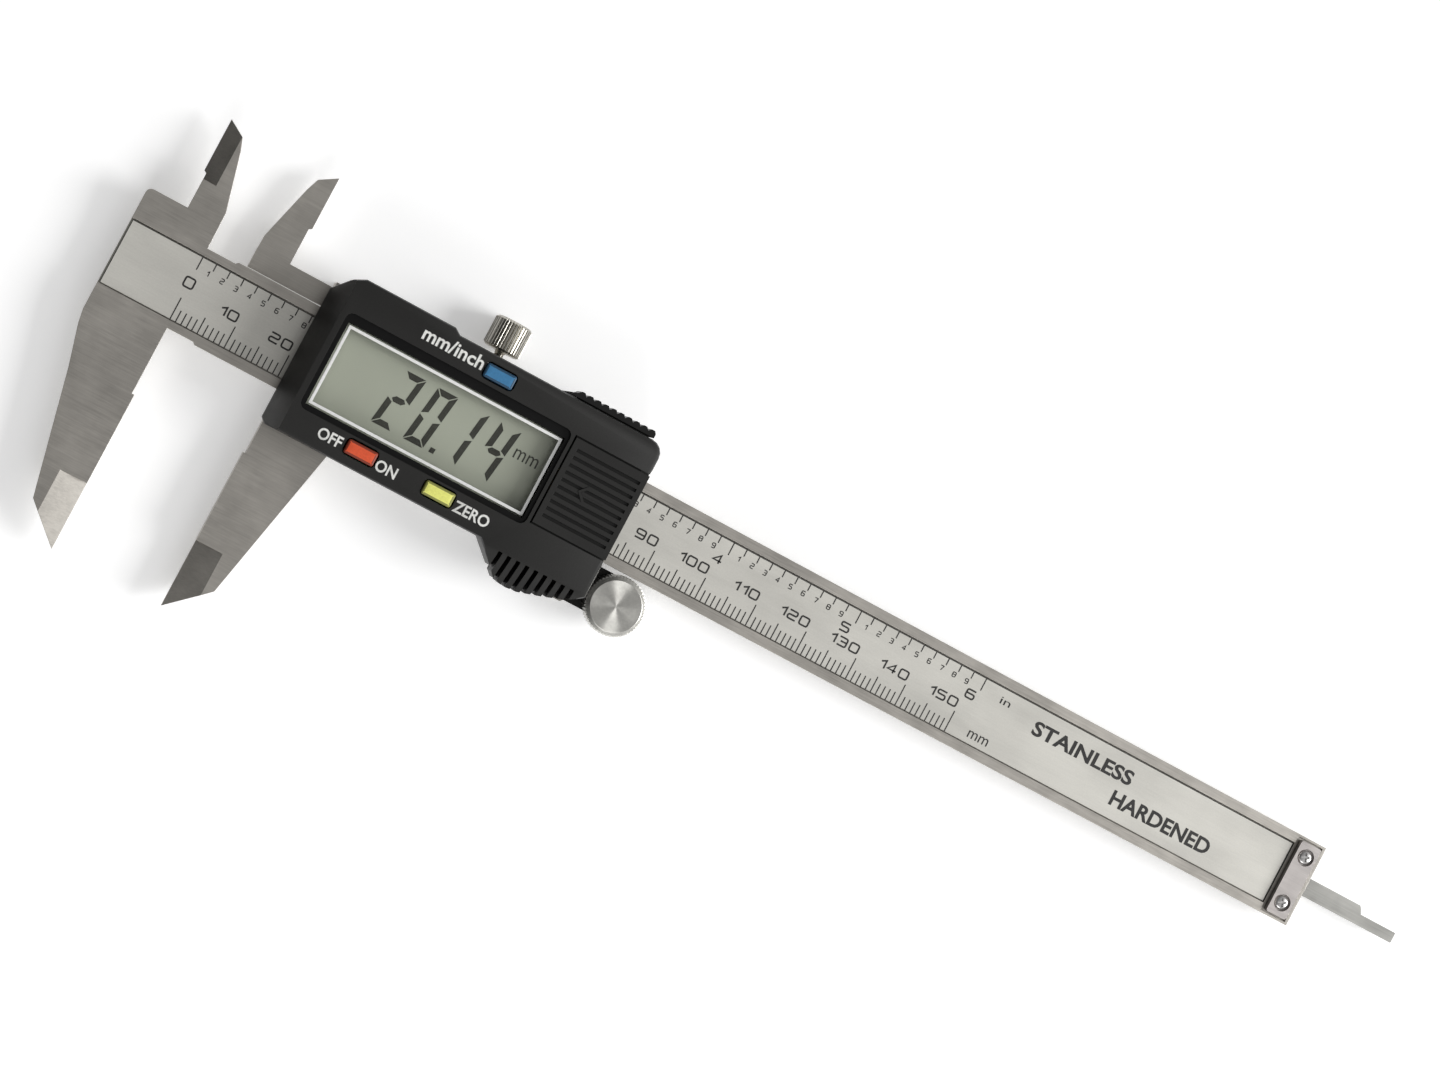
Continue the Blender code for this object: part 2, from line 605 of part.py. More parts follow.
def make_end_stop(root):
    back = BEAM_THICKNESS - STOP_POCKET_DEPTH + GAP
    front = back + STOP_THICKNESS
    outline = rounded_rectangle(STOP_LEFT, STOP_RIGHT, *STOP_Y_RANGE, 0.4 * MM)
    plate = add_object("end_stop_plate", extruded([outline], back, front), root, "bright steel")
    sink = front - 0.6 * MM
    for side, centre in stop_screw_places():
        drill(plate, f"hole {side}", centre, SCREW_HOLE, back - CUT_PAST, front + CUT_PAST)
        drill(plate, f"sink {side}", centre, STOP_SCREW_HEAD + GAP, sink, front + CUT_PAST, sides=24)
        head_back = sink + GAP
        head_front = front + 0.05 * MM
        profile = [
            (0, 1.5 * MM),
            (SCREW_SHANK, 1.5 * MM),
            (SCREW_SHANK, head_back),
            (STOP_SCREW_HEAD, head_back),
            (STOP_SCREW_HEAD, head_front),
            (0, head_front),
        ]
        place = (*centre, 0)
        screw = add_object(f"end_stop_screw_{side}", turned(profile), root, "bright steel", place)
        cross_slot(screw, head_front)


# Slider frame and what it carries on the beam


def make_slider_frame(slider):
    plate = [
        (RAIL_LEFT, LOWER_RAIL_BOTTOM),
        (GRIP_TAB_LEFT, LOWER_RAIL_BOTTOM),
        (GRIP_TAB_LEFT + 2.0 * MM, -GRIP_TAB_DROP),
        (SLIDER_LENGTH - 1.5 * MM, -GRIP_TAB_DROP),
        (SLIDER_LENGTH, -GRIP_TAB_DROP + 1.5 * MM),
        (SLIDER_LENGTH, UPPER_RAIL_TOP),
        (RAIL_LEFT, UPPER_RAIL_TOP),
    ]
    frame = add_object("slider_frame", extruded([plate], BACK, -GAP), slider, "satin steel")
    inside = BACK + 0.5 * MM
    lower = rectangle(RAIL_LEFT, SLIDER_LENGTH, LOWER_RAIL_BOTTOM, -GAP)
    join(frame, "lower rail", extruded([lower], inside, BEAM_THICKNESS))
    left_stop = RAIL_LEFT + RAIL_STOP_LENGTH
    right_stop = SLIDER_LENGTH - RAIL_STOP_LENGTH / 2
    upper = [
        (RAIL_LEFT, GIB_Y),
        (left_stop, GIB_Y),
        (left_stop, UPPER_RAIL_BOTTOM),
        (right_stop, UPPER_RAIL_BOTTOM),
        (right_stop, GIB_Y),
        (SLIDER_LENGTH, GIB_Y),
        (SLIDER_LENGTH, UPPER_RAIL_TOP),
        (RAIL_LEFT, UPPER_RAIL_TOP),
    ]
    join(frame, "upper rail", extruded([upper], inside, BEAM_THICKNESS))

    root_y = -GAP - 0.4 * MM
    jaw = jaw_outline(1, RAIL_LEFT, root_y) + [(JAW_ROOT_WIDTH, root_y)]
    join(frame, "outside jaw", extruded([jaw], 0, BEAM_THICKNESS))
    thin_jaw_tip(frame, 1)

    rear_half = MIDDLE_Z - GAP / 2
    block = rectangle(-NIB_OFFSET - 6.45 * MM, left_stop - 1.0 * MM, GIB_Y, NIB_BLOCK_HEIGHT)
    join(frame, "inside jaw block", extruded([block], BACK, rear_half))
    nib = nib_outline(-1, NIB_BLOCK_HEIGHT - 1.0 * MM)
    join(frame, "inside jaw", extruded([nib], 0, rear_half))
    bevel_nib(frame, -1, 0, -1)

    pocket = rounded_rectangle(*LABEL_POCKET, 0.8 * MM)
    cut(frame, "label pocket", extruded([pocket], BACK - CUT_PAST, BACK + LABEL_POCKET_DEPTH))
    drill(
        frame, "rod pin hole", (ROD_PIN_X, MIDDLE_Y), ROD_PIN_RADIUS + GAP, BACK - CUT_PAST, CUT_PAST
    )
    drill(frame, "rivet hole", rivet_place(), RIVET_RADIUS + GAP, BACK - CUT_PAST, CUT_PAST)
    front = BEAM_THICKNESS + CUT_PAST
    for number, centre in housing_screw_places():
        drill(frame, f"screw hole {number}", centre, SCREW_HOLE, BACK - CUT_PAST, front)
        head_floor = BACK + 1.2 * MM
        drill(frame, f"screw sink {number}", centre, SCREW_HEAD + GAP, BACK - CUT_PAST, head_floor)
    for side, height in board_screw_places():
        drill(frame, f"board screw {side}", (BOARD_SCREW_X, height), SCREW_HOLE, 1.2 * MM, front)
    for number, across in enumerate(GIB_SCREW_X):
        hole = GIB_SCREW_RADIUS + GAP
        drill_rail(frame, f"gib screw hole {number}", across, hole)
    drill_rail(frame, "lock screw hole", LOCK_X, LOCK_PAD_RADIUS + GAP)
    return frame


def drill_rail(frame, name, across, radius):
    """A hole through the upper rail, from its top edge to the gib strip."""
    low = UPPER_RAIL_BOTTOM - GAP
    drill(frame, name, (across, MIDDLE_Z), radius, low, UPPER_RAIL_TOP + CUT_PAST, "Y")


def housing_screw_places():
    """Number and centre of each screw that holds the housing."""
    places = [(x, y) for y in (LOWER_SCREW_Y, UPPER_SCREW_Y) for x in HOUSING_SCREW_X]
    return list(enumerate(places, start=1))


def board_screw_places():
    return (("lower", LOWER_SCREW_Y), ("upper", UPPER_SCREW_Y))


def rivet_place():
    return (BRACKET_LEFT + 4.0 * MM, -GRIP_TAB_DROP + 2.5 * MM)


def make_gib(slider):
    left = RAIL_LEFT + RAIL_STOP_LENGTH + GAP
    right = SLIDER_LENGTH - RAIL_STOP_LENGTH / 2 - GAP
    strip = rectangle(left, right, GIB_Y, GIB_Y + GIB_THICKNESS)
    mesh = extruded([strip], GIB_EDGE, BEAM_THICKNESS - GIB_EDGE)
    add_object("gib_strip", mesh, slider, "brass")
    for side, across in zip(("left", "right"), GIB_SCREW_X):
        profile = [
            (0, 0),
            (GIB_SCREW_RADIUS, 0),
            (GIB_SCREW_RADIUS, GIB_SCREW_LENGTH),
            (0, GIB_SCREW_LENGTH),
        ]
        place = (across, UPPER_RAIL_BOTTOM, MIDDLE_Z)
        mesh = turned(profile, "Y", 16)
        screw = add_object(f"gib_screw_{side}", mesh, slider, "black steel", place)
        slot = rectangle(-0.2 * MM, 0.2 * MM, -GIB_SCREW_RADIUS - GAP, GIB_SCREW_RADIUS + GAP)
        top = GIB_SCREW_LENGTH
        cut(screw, "slot", extruded([slot], top - 0.5 * MM, top + CUT_PAST, "Y"), place)


def make_depth_rod(slider):
    low = MIDDLE_Y - ROD_WIDTH / 2
    high = MIDDLE_Y + ROD_WIDTH / 2
    shoulder = BEAM_END - ROD_TIP_LENGTH
    outline = [
        (ROD_START, low),
        (BEAM_END, low),
        (BEAM_END, low + ROD_TIP_WIDTH),
        (shoulder + 0.5 * MM, low + ROD_TIP_WIDTH),
        (shoulder, high - 0.4 * MM),
        (shoulder - 0.4 * MM, high),
        (ROD_START, high),
    ]
    front = CHANNEL_DEPTH - GAP
    back = front - ROD_THICKNESS
    rod = add_object("depth_rod", extruded([outline], back, front), slider, "bright steel")
    centre = (ROD_PIN_X, MIDDLE_Y)
    drill(rod, "pin hole", centre, ROD_PIN_RADIUS + GAP, back - CUT_PAST, front + CUT_PAST)
    pin = extruded([circle(centre, ROD_PIN_RADIUS, 16)], BACK + 0.3 * MM, front - 0.2 * MM)
    add_object("depth_rod_pin", pin, slider, "bright steel")


def make_back_label(slider):
    left, right, bottom, top = LABEL_POCKET
    outline = rounded_rectangle(left + GAP, right - GAP, bottom + GAP, top - GAP, 0.5 * MM)
    low = BACK + LABEL_POCKET_DEPTH - GAP - BACK_LABEL_THICKNESS
    label = extruded([outline], low, low + BACK_LABEL_THICKNESS)
    add_object("back_label", label, slider, "label grey")


# Housing


def grip_curve():
    """The finger grip's lower edge, from the housing's lower edge to its right end."""
    right = SLIDER_LENGTH
    floor = HOUSING_BOTTOM - GRIP_DROP
    return [
        (GRIP_LEFT, HOUSING_BOTTOM),
        (GRIP_LEFT + 3.7 * MM, floor + 2.0 * MM),
        (GRIP_LEFT + 5.4 * MM, floor + 0.4 * MM),
        (GRIP_LEFT + 7.4 * MM, floor),
        (GRIP_LEFT + 9.9 * MM, floor + 0.2 * MM),
        (right - 6.3 * MM, floor + 1.5 * MM),
        (right - 2.6 * MM, floor + 2.9 * MM),
        (right, floor + 4.7 * MM),
    ]


def height_on(curve, across):
    """The curve's height at a place across it."""
    for (x0, y0), (x1, y1) in zip(curve, curve[1:]):
        if x0 <= across <= x1:
            return y0 + (y1 - y0) * (across - x0) / (x1 - x0)
    return curve[-1][1]


def housing_outline():
    right = SLIDER_LENGTH
    step_top = HOUSING_TOP + TOP_STEP
    corner = (right - CORNER_RADIUS, HOUSING_TOP - CORNER_RADIUS)
    outline = [(HOUSING_LEFT, HOUSING_BOTTOM + 0.8 * MM), (HOUSING_LEFT + 0.8 * MM, HOUSING_BOTTOM)]
    outline += grip_curve()
    outline += arc(corner, CORNER_RADIUS, 0, 90, 4)
    outline += [
        (TOP_STEP_RIGHT + 1.2 * MM, HOUSING_TOP),
        (TOP_STEP_RIGHT, step_top),
        (HOUSING_LEFT + 4.3 * MM, step_top),
        (HOUSING_LEFT + 2.4 * MM, HOUSING_TOP - 0.2 * MM),
        (HOUSING_LEFT, HOUSING_TOP - 3.0 * MM),
    ]
    return outline


def make_housing(slider):
    body = extruded([housing_outline()], HOUSING_REAR, HOUSING_FRONT, front_edge=FRONT_EDGE)
    housing = add_object("housing", body, slider, "black plastic")
    across, down = LEFT_SLOPE
    slope = [
        (HOUSING_LEFT - CUT_PAST, HOUSING_FRONT - down - CUT_PAST * down / across),
        (HOUSING_LEFT + across + CUT_PAST, HOUSING_FRONT + CUT_PAST * down / across),
        (HOUSING_LEFT - CUT_PAST, HOUSING_FRONT + CUT_PAST * down / across),
    ]
    tall = (HOUSING_BOTTOM - GRIP_DROP - CUT_PAST, HOUSING_TOP + TOP_STEP + CUT_PAST)
    cut(housing, "left slope", extruded([slope], *tall, "Y"))
    add_grip(housing)

    below = HOUSING_REAR - CUT_PAST
    above = HOUSING_FRONT + CUT_PAST
    cavity = rectangle(CAVITY_LEFT, CAVITY_RIGHT, CAVITY_BOTTOM, CAVITY_TOP)
    cut(housing, "cavity", extruded([cavity], below, CEILING))
    past_right = SLIDER_LENGTH + CUT_PAST
    slot = rectangle(
        PORT_X[0] + 0.3 * MM, past_right, CAVITY_TOP - 0.5 * MM, HOUSING_TOP + CUT_PAST
    )
    cut(housing, "port slot", extruded([slot], PORT_TONGUE_Z[0] - GAP, PORT_TONGUE_Z[1] + GAP))
    recess = rounded_rectangle(*RECESS_X, *RECESS_Y, 1.2 * MM)
    cut(housing, "display recess", extruded([recess], HOUSING_FRONT - WINDOW_RECESS_DEPTH, above))
    window = rectangle(FRAME_X[0] - GAP, FRAME_X[1] + GAP, FRAME_Y[0] - GAP, FRAME_Y[1] + GAP)
    cut(housing, "display window", extruded([window], CEILING - CUT_PAST, above))
    for name, (key_x, key_y, _) in KEYS.items():
        outline = key_outline(GAP)
        place = (key_x, key_y, 0)
        cut(housing, f"key hole {name}", extruded([outline], CEILING - CUT_PAST, above), place)

    bottom, top = COVER_Y
    opening = rectangle(COVER_LEFT - GAP, past_right, bottom - GAP, top + GAP)
    cut(housing, "battery opening", extruded([opening], COVER_BACK - GAP, above))
    wide = COVER_TONGUE[0] + GAP
    groove = rectangle(COVER_LEFT - GAP, past_right, bottom - wide, top + wide)
    groove_top = COVER_BACK + COVER_TONGUE[1] + GAP
    cut(housing, "cover grooves", extruded([groove], COVER_BACK - GAP, groove_top))

    for number, centre in housing_screw_places():
        boss = extruded([circle(centre, BOSS_RADIUS, 16)], BOARD_STAND_OFF, CEILING + 0.5 * MM)
        join(housing, f"boss {number}", boss)
        hole_top = HOUSING_REAR + 5.1 * MM
        drill(housing, f"boss hole {number}", centre, SCREW_HOLE, below, hole_top, sides=12)
    return housing


def add_grip(housing):
    """Slopes the front of the finger grip and cuts the notches between its ribs."""
    floor = HOUSING_BOTTOM - GRIP_DROP
    slope = GRIP_SLOPE / GRIP_DROP
    wedge = [
        (HOUSING_BOTTOM - FRONT_EDGE, HOUSING_FRONT),
        (floor - CUT_PAST, HOUSING_FRONT - GRIP_SLOPE - CUT_PAST * slope),
        (floor - CUT_PAST, HOUSING_FRONT + CUT_PAST),
        (HOUSING_BOTTOM - FRONT_EDGE, HOUSING_FRONT + CUT_PAST),
    ]
    low = GRIP_LEFT - CUT_PAST
    cut(housing, "grip slope", extruded([wedge], low, SLIDER_LENGTH + CUT_PAST, "X"))
    width, depth = GRIP_NOTCH
    notches = []
    for number in range(GRIP_RIBS):
        middle = GRIP_LEFT + 4.0 * MM + number * GRIP_RIB_PITCH
        edge = height_on(grip_curve(), middle)
        notches.append(
            rectangle(middle - width / 2, middle + width / 2, floor - CUT_PAST, edge + depth)
        )
    cut(housing, "grip notches", extruded(notches, HOUSING_REAR - CUT_PAST, HOUSING_FRONT))


def make_housing_screws(slider):
    head_back = BACK + 0.1 * MM
    head_front = head_back + SCREW_HEAD_HEIGHT
    tip = HOUSING_REAR + 4.6 * MM
    profile = [
        (0, -head_back),
        (SCREW_HEAD, -head_back),
        (SCREW_HEAD, -head_front),
        (SCREW_SHANK, -head_front),
        (SCREW_SHANK, -tip),
        (0, -tip),
    ]
    for number, centre in housing_screw_places():
        name = f"housing_screw_{number}"
        screw = add_object(name, turned(profile, sides=16), slider, "black steel", (*centre, 0))
        screw.rotation_euler = (math.pi, 0, 0)
        slot = rectangle(-SLOT_LENGTH / 2, SLOT_LENGTH / 2, -SLOT_WIDTH / 2, SLOT_WIDTH / 2)
        cutter = extruded([slot], head_back - CUT_PAST, head_back + SLOT_DEPTH)
        cut(screw, "slot", cutter, screw.location)


# Display


def make_display(slider):
    outer = rectangle(*FRAME_X, *FRAME_Y)
    inner = rectangle(
        FRAME_X[0] + FRAME_BORDER,
        FRAME_X[1] - FRAME_BORDER,
        FRAME_Y[0] + FRAME_BORDER,
        FRAME_Y[1] - FRAME_BORDER,
    )
    frame_mesh = extruded([outer], CEILING, CEILING + FRAME_THICKNESS)
    frame = add_object("display_frame", frame_mesh, slider, "white plastic")
    cut(frame, "opening", extruded([inner], CEILING - CUT_PAST, HOUSING_FRONT))

    window = rectangle(
        FRAME_X[0] - WINDOW_LAP,
        FRAME_X[1] + WINDOW_LAP,
        FRAME_Y[0] - WINDOW_LAP,
        FRAME_Y[1] + WINDOW_LAP,
    )
    window_mesh = extruded([window], WINDOW_BACK, WINDOW_BACK + WINDOW_THICKNESS)
    add_object("display_window", window_mesh, slider, "clear plastic")

    glass = extruded([rectangle(*GLASS_X, *GLASS_Y)], GLASS_BACK, GLASS_FRONT)
    add_object("display_glass", glass, slider, "display grey")

    def grown(by):
        return rectangle(GLASS_X[0] - by, GLASS_X[1] + by, GLASS_Y[0] - by, GLASS_Y[1] + by)

    carrier_mesh = extruded([grown(CARRIER_GAP)], BOARD_STAND_OFF, GLASS_FRONT)
    carrier = add_object("display_carrier", carrier_mesh, slider, "white plastic")
    cut(carrier, "opening", extruded([grown(GAP)], BOARD_FRONT, CEILING))

    left = GLASS_X[0] + CONTACT_STRIP_INSET
    right = GLASS_X[1] - CONTACT_STRIP_INSET
    upper = GLASS_Y[1] - GAP - CONTACT_STRIP_WIDTH
    for side, low in (("lower", GLASS_Y[0] + GAP), ("upper", upper)):
        outline = rectangle(left, right, low, low + CONTACT_STRIP_WIDTH)
        strip = extruded([outline], BOARD_STAND_OFF, GLASS_BACK - GAP)
        add_object(f"contact_strip_{side}", strip, slider, "black rubber")


# Circuit board and what stands on it


def make_board(slider):
    outline = rectangle(
        CAVITY_LEFT + GAP, CAVITY_RIGHT - GAP, CAVITY_BOTTOM + GAP, CAVITY_TOP - GAP
    )
    board_mesh = extruded([outline], BOARD_BACK, BOARD_FRONT)
    board = add_object("circuit_board", board_mesh, slider, "board green")
    ends = (BOARD_BACK - CUT_PAST, BOARD_FRONT + CUT_PAST)
    for number, centre in housing_screw_places():
        drill(board, f"hole {number}", centre, SCREW_HOLE, *ends)
    for side, height in board_screw_places():
        drill(board, f"hole {side}", (BOARD_SCREW_X, height), SCREW_HOLE, *ends)
        profile = [
            (0, 1.5 * MM),
            (SCREW_SHANK, 1.5 * MM),
            (SCREW_SHANK, BOARD_STAND_OFF),
            (STOP_SCREW_HEAD, BOARD_STAND_OFF),
            (STOP_SCREW_HEAD, BOARD_STAND_OFF + SCREW_HEAD_HEIGHT),
            (0, BOARD_STAND_OFF + SCREW_HEAD_HEIGHT),
        ]
        place = (BOARD_SCREW_X, height, 0)
        screw = add_object(
            f"board_screw_{side}", turned(profile, sides=16), slider, "bright steel", place
        )
        cross_slot(screw, BOARD_STAND_OFF + SCREW_HEAD_HEIGHT)

    drop = [(0, 0), (2.6 * MM, 0), (2.3 * MM, 0.5 * MM), (1.4 * MM, 0.8 * MM), (0, 0.9 * MM)]
    place = (DISPLAY_MIDDLE + CHIP_OFFSET, MIDDLE_Y, BOARD_STAND_OFF)
    add_object("processor_chip", turned(drop, sides=20), slider, "black plastic", place)
    can = extruded([circle((0, 0), CRYSTAL_RADIUS, 16)], 0, CRYSTAL_LENGTH, "X")
    place = (DISPLAY_MIDDLE + CRYSTAL_OFFSET, MIDDLE_Y, BOARD_STAND_OFF + CRYSTAL_RADIUS)
    add_object("crystal_can", can, slider, "bright steel", place)
    left, right = (SLIDER_LENGTH - inset for inset in CONNECTOR_X)
    outline = rectangle(left, right, UPPER_RAIL_BOTTOM, CAVITY_TOP - GAP)
    connector = extruded([outline], BOARD_STAND_OFF, BOARD_STAND_OFF + CONNECTOR_HEIGHT)
    add_object("data_connector", connector, slider, "black plastic")

    for name, (key_x, key_y, _) in KEYS.items():
        dome = [
            (0, 0),
            (SWITCH_RADIUS, 0),
            (SWITCH_RADIUS, 0.5 * SWITCH_HEIGHT),
            (0.6 * SWITCH_RADIUS, SWITCH_HEIGHT),
            (0, SWITCH_HEIGHT),
        ]
        place = (key_x, key_y, BOARD_STAND_OFF)
        add_object(f"switch_{name}", turned(dome, sides=16), slider, "bright steel", place)


def make_battery(slider):
    shoulder = 0.8 * BATTERY_RADIUS
    profile = [
        (0, 0),
        (shoulder, 0),
        (shoulder, 0.5 * MM),
        (BATTERY_RADIUS, 0.8 * MM),
        (BATTERY_RADIUS, BATTERY_HEIGHT - 0.3 * MM),
        (BATTERY_RADIUS - 0.3 * MM, BATTERY_HEIGHT),
        (0, BATTERY_HEIGHT),
    ]
    place = (BATTERY_X, BATTERY_Y, BATTERY_BACK)
    add_object("battery", turned(profile, sides=32), slider, "bright steel", place)

    left = BATTERY_X - BATTERY_RADIUS
    outline = rectangle(
        BATTERY_X - 4.0 * MM, BATTERY_X + 4.0 * MM, BATTERY_Y - 1.75 * MM, BATTERY_Y + 1.75 * MM
    )
    leaf = extruded([outline], BOARD_STAND_OFF, BOARD_STAND_OFF + CONTACT_THICKNESS)
    add_object("battery_contact_negative", leaf, slider, "brass")
    outline = rectangle(
        left - GAP - CONTACT_THICKNESS, left - GAP, BATTERY_Y - 2.5 * MM, BATTERY_Y + 2.5 * MM
    )
    clip = extruded([outline], BOARD_STAND_OFF, BATTERY_FRONT - 1.0 * MM)
    add_object("battery_contact_positive", clip, slider, "brass")


# Keys and covers


def key_outline(clearance):
    width, height = KEY_SIZE
    return rounded_rectangle(
        -width / 2 - clearance,
        width / 2 + clearance,
        -height / 2 - clearance,
        height / 2 + clearance,
        0.5 * MM + clearance,
        2,
    )


def make_keys(slider):
    top = HOUSING_FRONT + KEY_PROUD
    flange_top = CEILING - GAP
    flange_back = flange_top - KEY_FLANGE_THICKNESS
    foot = SWITCH_FRONT + KEY_TRAVEL + GAP + 0.1 * MM
    width, height = KEY_SIZE
    for name, (key_x, key_y, colour) in KEYS.items():
        holder = empty(f"key {name} axis", slider, (key_x, key_y, 0))
        cap = extruded([key_outline(0)], flange_back, top, front_edge=0.2 * MM)
        key = add_object(f"key_{name}", cap, holder, colour)
        half = width / 2 + KEY_FLANGE
        flange = rectangle(-half, half, -height / 2 + 0.1 * MM, height / 2 - 0.1 * MM)
        join(key, "flange", extruded([flange], flange_back - 0.2 * MM, flange_top))
        stem = extruded([circle((0, 0), 0.9 * MM, 12)], foot, flange_top - 0.2 * MM)
        join(key, "stem", stem)


def make_battery_cover(slider):
    bottom, top = COVER_Y
    length = SLIDER_LENGTH - COVER_LEFT
    holder = empty("battery cover slide", slider, (COVER_LEFT, 0, COVER_BACK))
    plate = rectangle(0, length, bottom, top)
    mesh = extruded([plate], 0, COVER_THICKNESS)
    cover = add_object("battery_cover", mesh, holder, "black plastic")
    reach, thickness = COVER_TONGUE
    tongue = rectangle(0, length - HOUSING_WALL, bottom - reach, top + reach)
    join(cover, "tongues", extruded([tongue], 0, thickness))
    width, depth = COVER_GROOVE
    first = (bottom + top) / 2 - COVER_RIB_PITCH * (COVER_RIBS - 1) / 2
    grooves = []
    for number in range(COVER_RIBS):
        middle = first + number * COVER_RIB_PITCH
        grooves.append(
            rectangle(1.0 * MM, length - 1.0 * MM, middle - width / 2, middle + width / 2)
        )
    above = COVER_THICKNESS + CUT_PAST
    cut(cover, "grooves", extruded(grooves, COVER_THICKNESS - depth, above))


def make_port_cover(slider):
    left, right = PORT_X
    length = right - left
    holder = empty("port cover slide", slider, (left, PORT_SEAT, 0))
    pitch = length / PORT_TEETH
    outline = [(length, 0), (length, PORT_THICKNESS)]
    for number in reversed(range(PORT_TEETH)):
        start = number * pitch
        outline += [
            (start + 0.75 * pitch, PORT_THICKNESS + PORT_TOOTH_HEIGHT),
            (start + 0.35 * pitch, PORT_THICKNESS + PORT_TOOTH_HEIGHT),
            (start, PORT_THICKNESS),
        ]
    outline.append((-PORT_LEAD_IN, 0))
    cover = add_object("data_port_cover", extruded([outline], *PORT_Z), holder, "black plastic")
    tongue = rectangle(0.6 * MM, length - 0.6 * MM, -GAP - PORT_TONGUE_DEPTH, 0.3 * MM)
    join(cover, "tongue", extruded([tongue], *PORT_TONGUE_Z))


# Lock screw and thumb roller


def make_lock(slider):
    holder = empty("lock screw axis", slider, (LOCK_X, UPPER_RAIL_BOTTOM, MIDDLE_Z))
    pad = extruded([circle((0, 0), LOCK_PAD_RADIUS, 16)], 0, LOCK_PAD_THICKNESS, "Y")
    add_object("lock_pad", pad, holder, "brass")
    head = LOCK_HEAD_Y - UPPER_RAIL_BOTTOM
    top = head + LOCK_HEAD_LENGTH
    edge = 0.4 * MM
    profile = [
        (0, LOCK_PAD_THICKNESS + GAP),
        (LOCK_SHANK_RADIUS, LOCK_PAD_THICKNESS + GAP),
        (LOCK_SHANK_RADIUS, head),
        (LOCK_HEAD_RADIUS - edge, head),
        (LOCK_HEAD_RADIUS, head + edge),
        (LOCK_HEAD_RADIUS, top - edge),
        (LOCK_HEAD_RADIUS - edge, top),
        (0, top),
    ]
    add_object("lock_screw", turned(profile, "Y", 32), holder, "satin steel")


def make_roller(slider):
    holder = empty("roller axis", slider, (ROLLER_X, ROLLER_Y, 0))
    front = ROLLER_BACK + ROLLER_THICKNESS
    edge = 0.3 * MM
    bore_end = front - ROLLER_FRONT_WALL
    profile = [
        (0, bore_end),
        (ROLLER_BORE_RADIUS, bore_end),
        (ROLLER_BORE_RADIUS, ROLLER_BACK),
        (ROLLER_RADIUS - edge, ROLLER_BACK),
        (ROLLER_RADIUS, ROLLER_BACK + edge),
        (ROLLER_RADIUS, front - edge),
        (ROLLER_RADIUS - edge, front),
        (0, front),
    ]
    add_object("thumb_roller", turned(profile, sides=48), holder, "bright steel")

    axle_radius = ROLLER_BORE_RADIUS - GAP
    profile = [
        (0, -0.9 * MM),
        (1.9 * MM, -0.9 * MM),
        (1.9 * MM, -GAP),
        (axle_radius, -GAP),
        (axle_radius, bore_end - GAP),
        (0, bore_end - GAP),
    ]
    place = (ROLLER_X, ROLLER_Y, 0)
    add_object("roller_axle", turned(profile, sides=20), slider, "black steel", place)

    end = SLIDER_LENGTH + GAP
    rail = LOWER_RAIL_BOTTOM - GAP
    outline = [
        (BRACKET_LEFT, -GRIP_TAB_DROP + 0.5 * MM),
        (ROLLER_X - 3.0 * MM, -GRIP_TAB_DROP + 0.5 * MM),
    ]
    outline += arc((ROLLER_X, ROLLER_Y), 3.4 * MM, -90, 60, 6)
    outline += [(ROLLER_X - 1.0 * MM, -0.8 * MM), (end, -0.8 * MM), (end, rail), (BRACKET_LEFT, rail)]
    mesh = extruded([outline], 0, BRACKET_THICKNESS)
    bracket = add_object("roller_bracket", mesh, slider, "black steel")
    ends = (-CUT_PAST, BRACKET_THICKNESS + CUT_PAST)
    drill(bracket, "axle hole", (ROLLER_X, ROLLER_Y), ROLLER_BORE_RADIUS, *ends, sides=20)
    drill(bracket, "rivet hole", rivet_place(), RIVET_RADIUS + GAP, *ends)
    head = BRACKET_THICKNESS + GAP
    profile = [
        (0, BACK + 0.1 * MM),
        (RIVET_RADIUS, BACK + 0.1 * MM),
        (RIVET_RADIUS, head),
        (1.5 * MM, head),
        (1.0 * MM, head + 0.6 * MM),
        (0, head + 0.6 * MM),
    ]
    place = (*rivet_place(), 0)
    add_object("bracket_rivet", turned(profile, sides=16), slider, "bright steel", place)


def main():
    for old in list(bpy.data.objects):
        bpy.data.objects.remove(old, do_unlink=True)

    # The origin lies under the middle of the whole caliper, at the height of its back.
    middle_x = (OPENING + BEAM_END - HEAD_LENGTH) / 2
    middle_y = (NIB_HEIGHT - JAW_DEPTH) / 2
    root = empty("caliper", None, (-middle_x, -middle_y, -BACK))
    slider = empty("slider", root, (OPENING, 0, 0))

    make_beam(root)
    make_scale(root)
    make_end_stop(root)
    make_slider_frame(slider)
    make_gib(slider)
    make_depth_rod(slider)
    make_back_label(slider)
    make_housing(slider)
    make_housing_screws(slider)
    make_display(slider)
    make_board(slider)
    make_battery(slider)
    make_keys(slider)
    make_battery_cover(slider)
    make_port_cover(slider)
    make_lock(slider)
    make_roller(slider)


main()
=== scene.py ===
"""Finishes, printed marks and fine pieces of a digital caliper, built on its packed frame.

The frame gives every place: a piece is laid out from the box of the node that it stands on or
stands for. X runs along the beam towards the depth rod's tip, Y towards the inside jaws and Z
out of the display.
"""

import json
import math

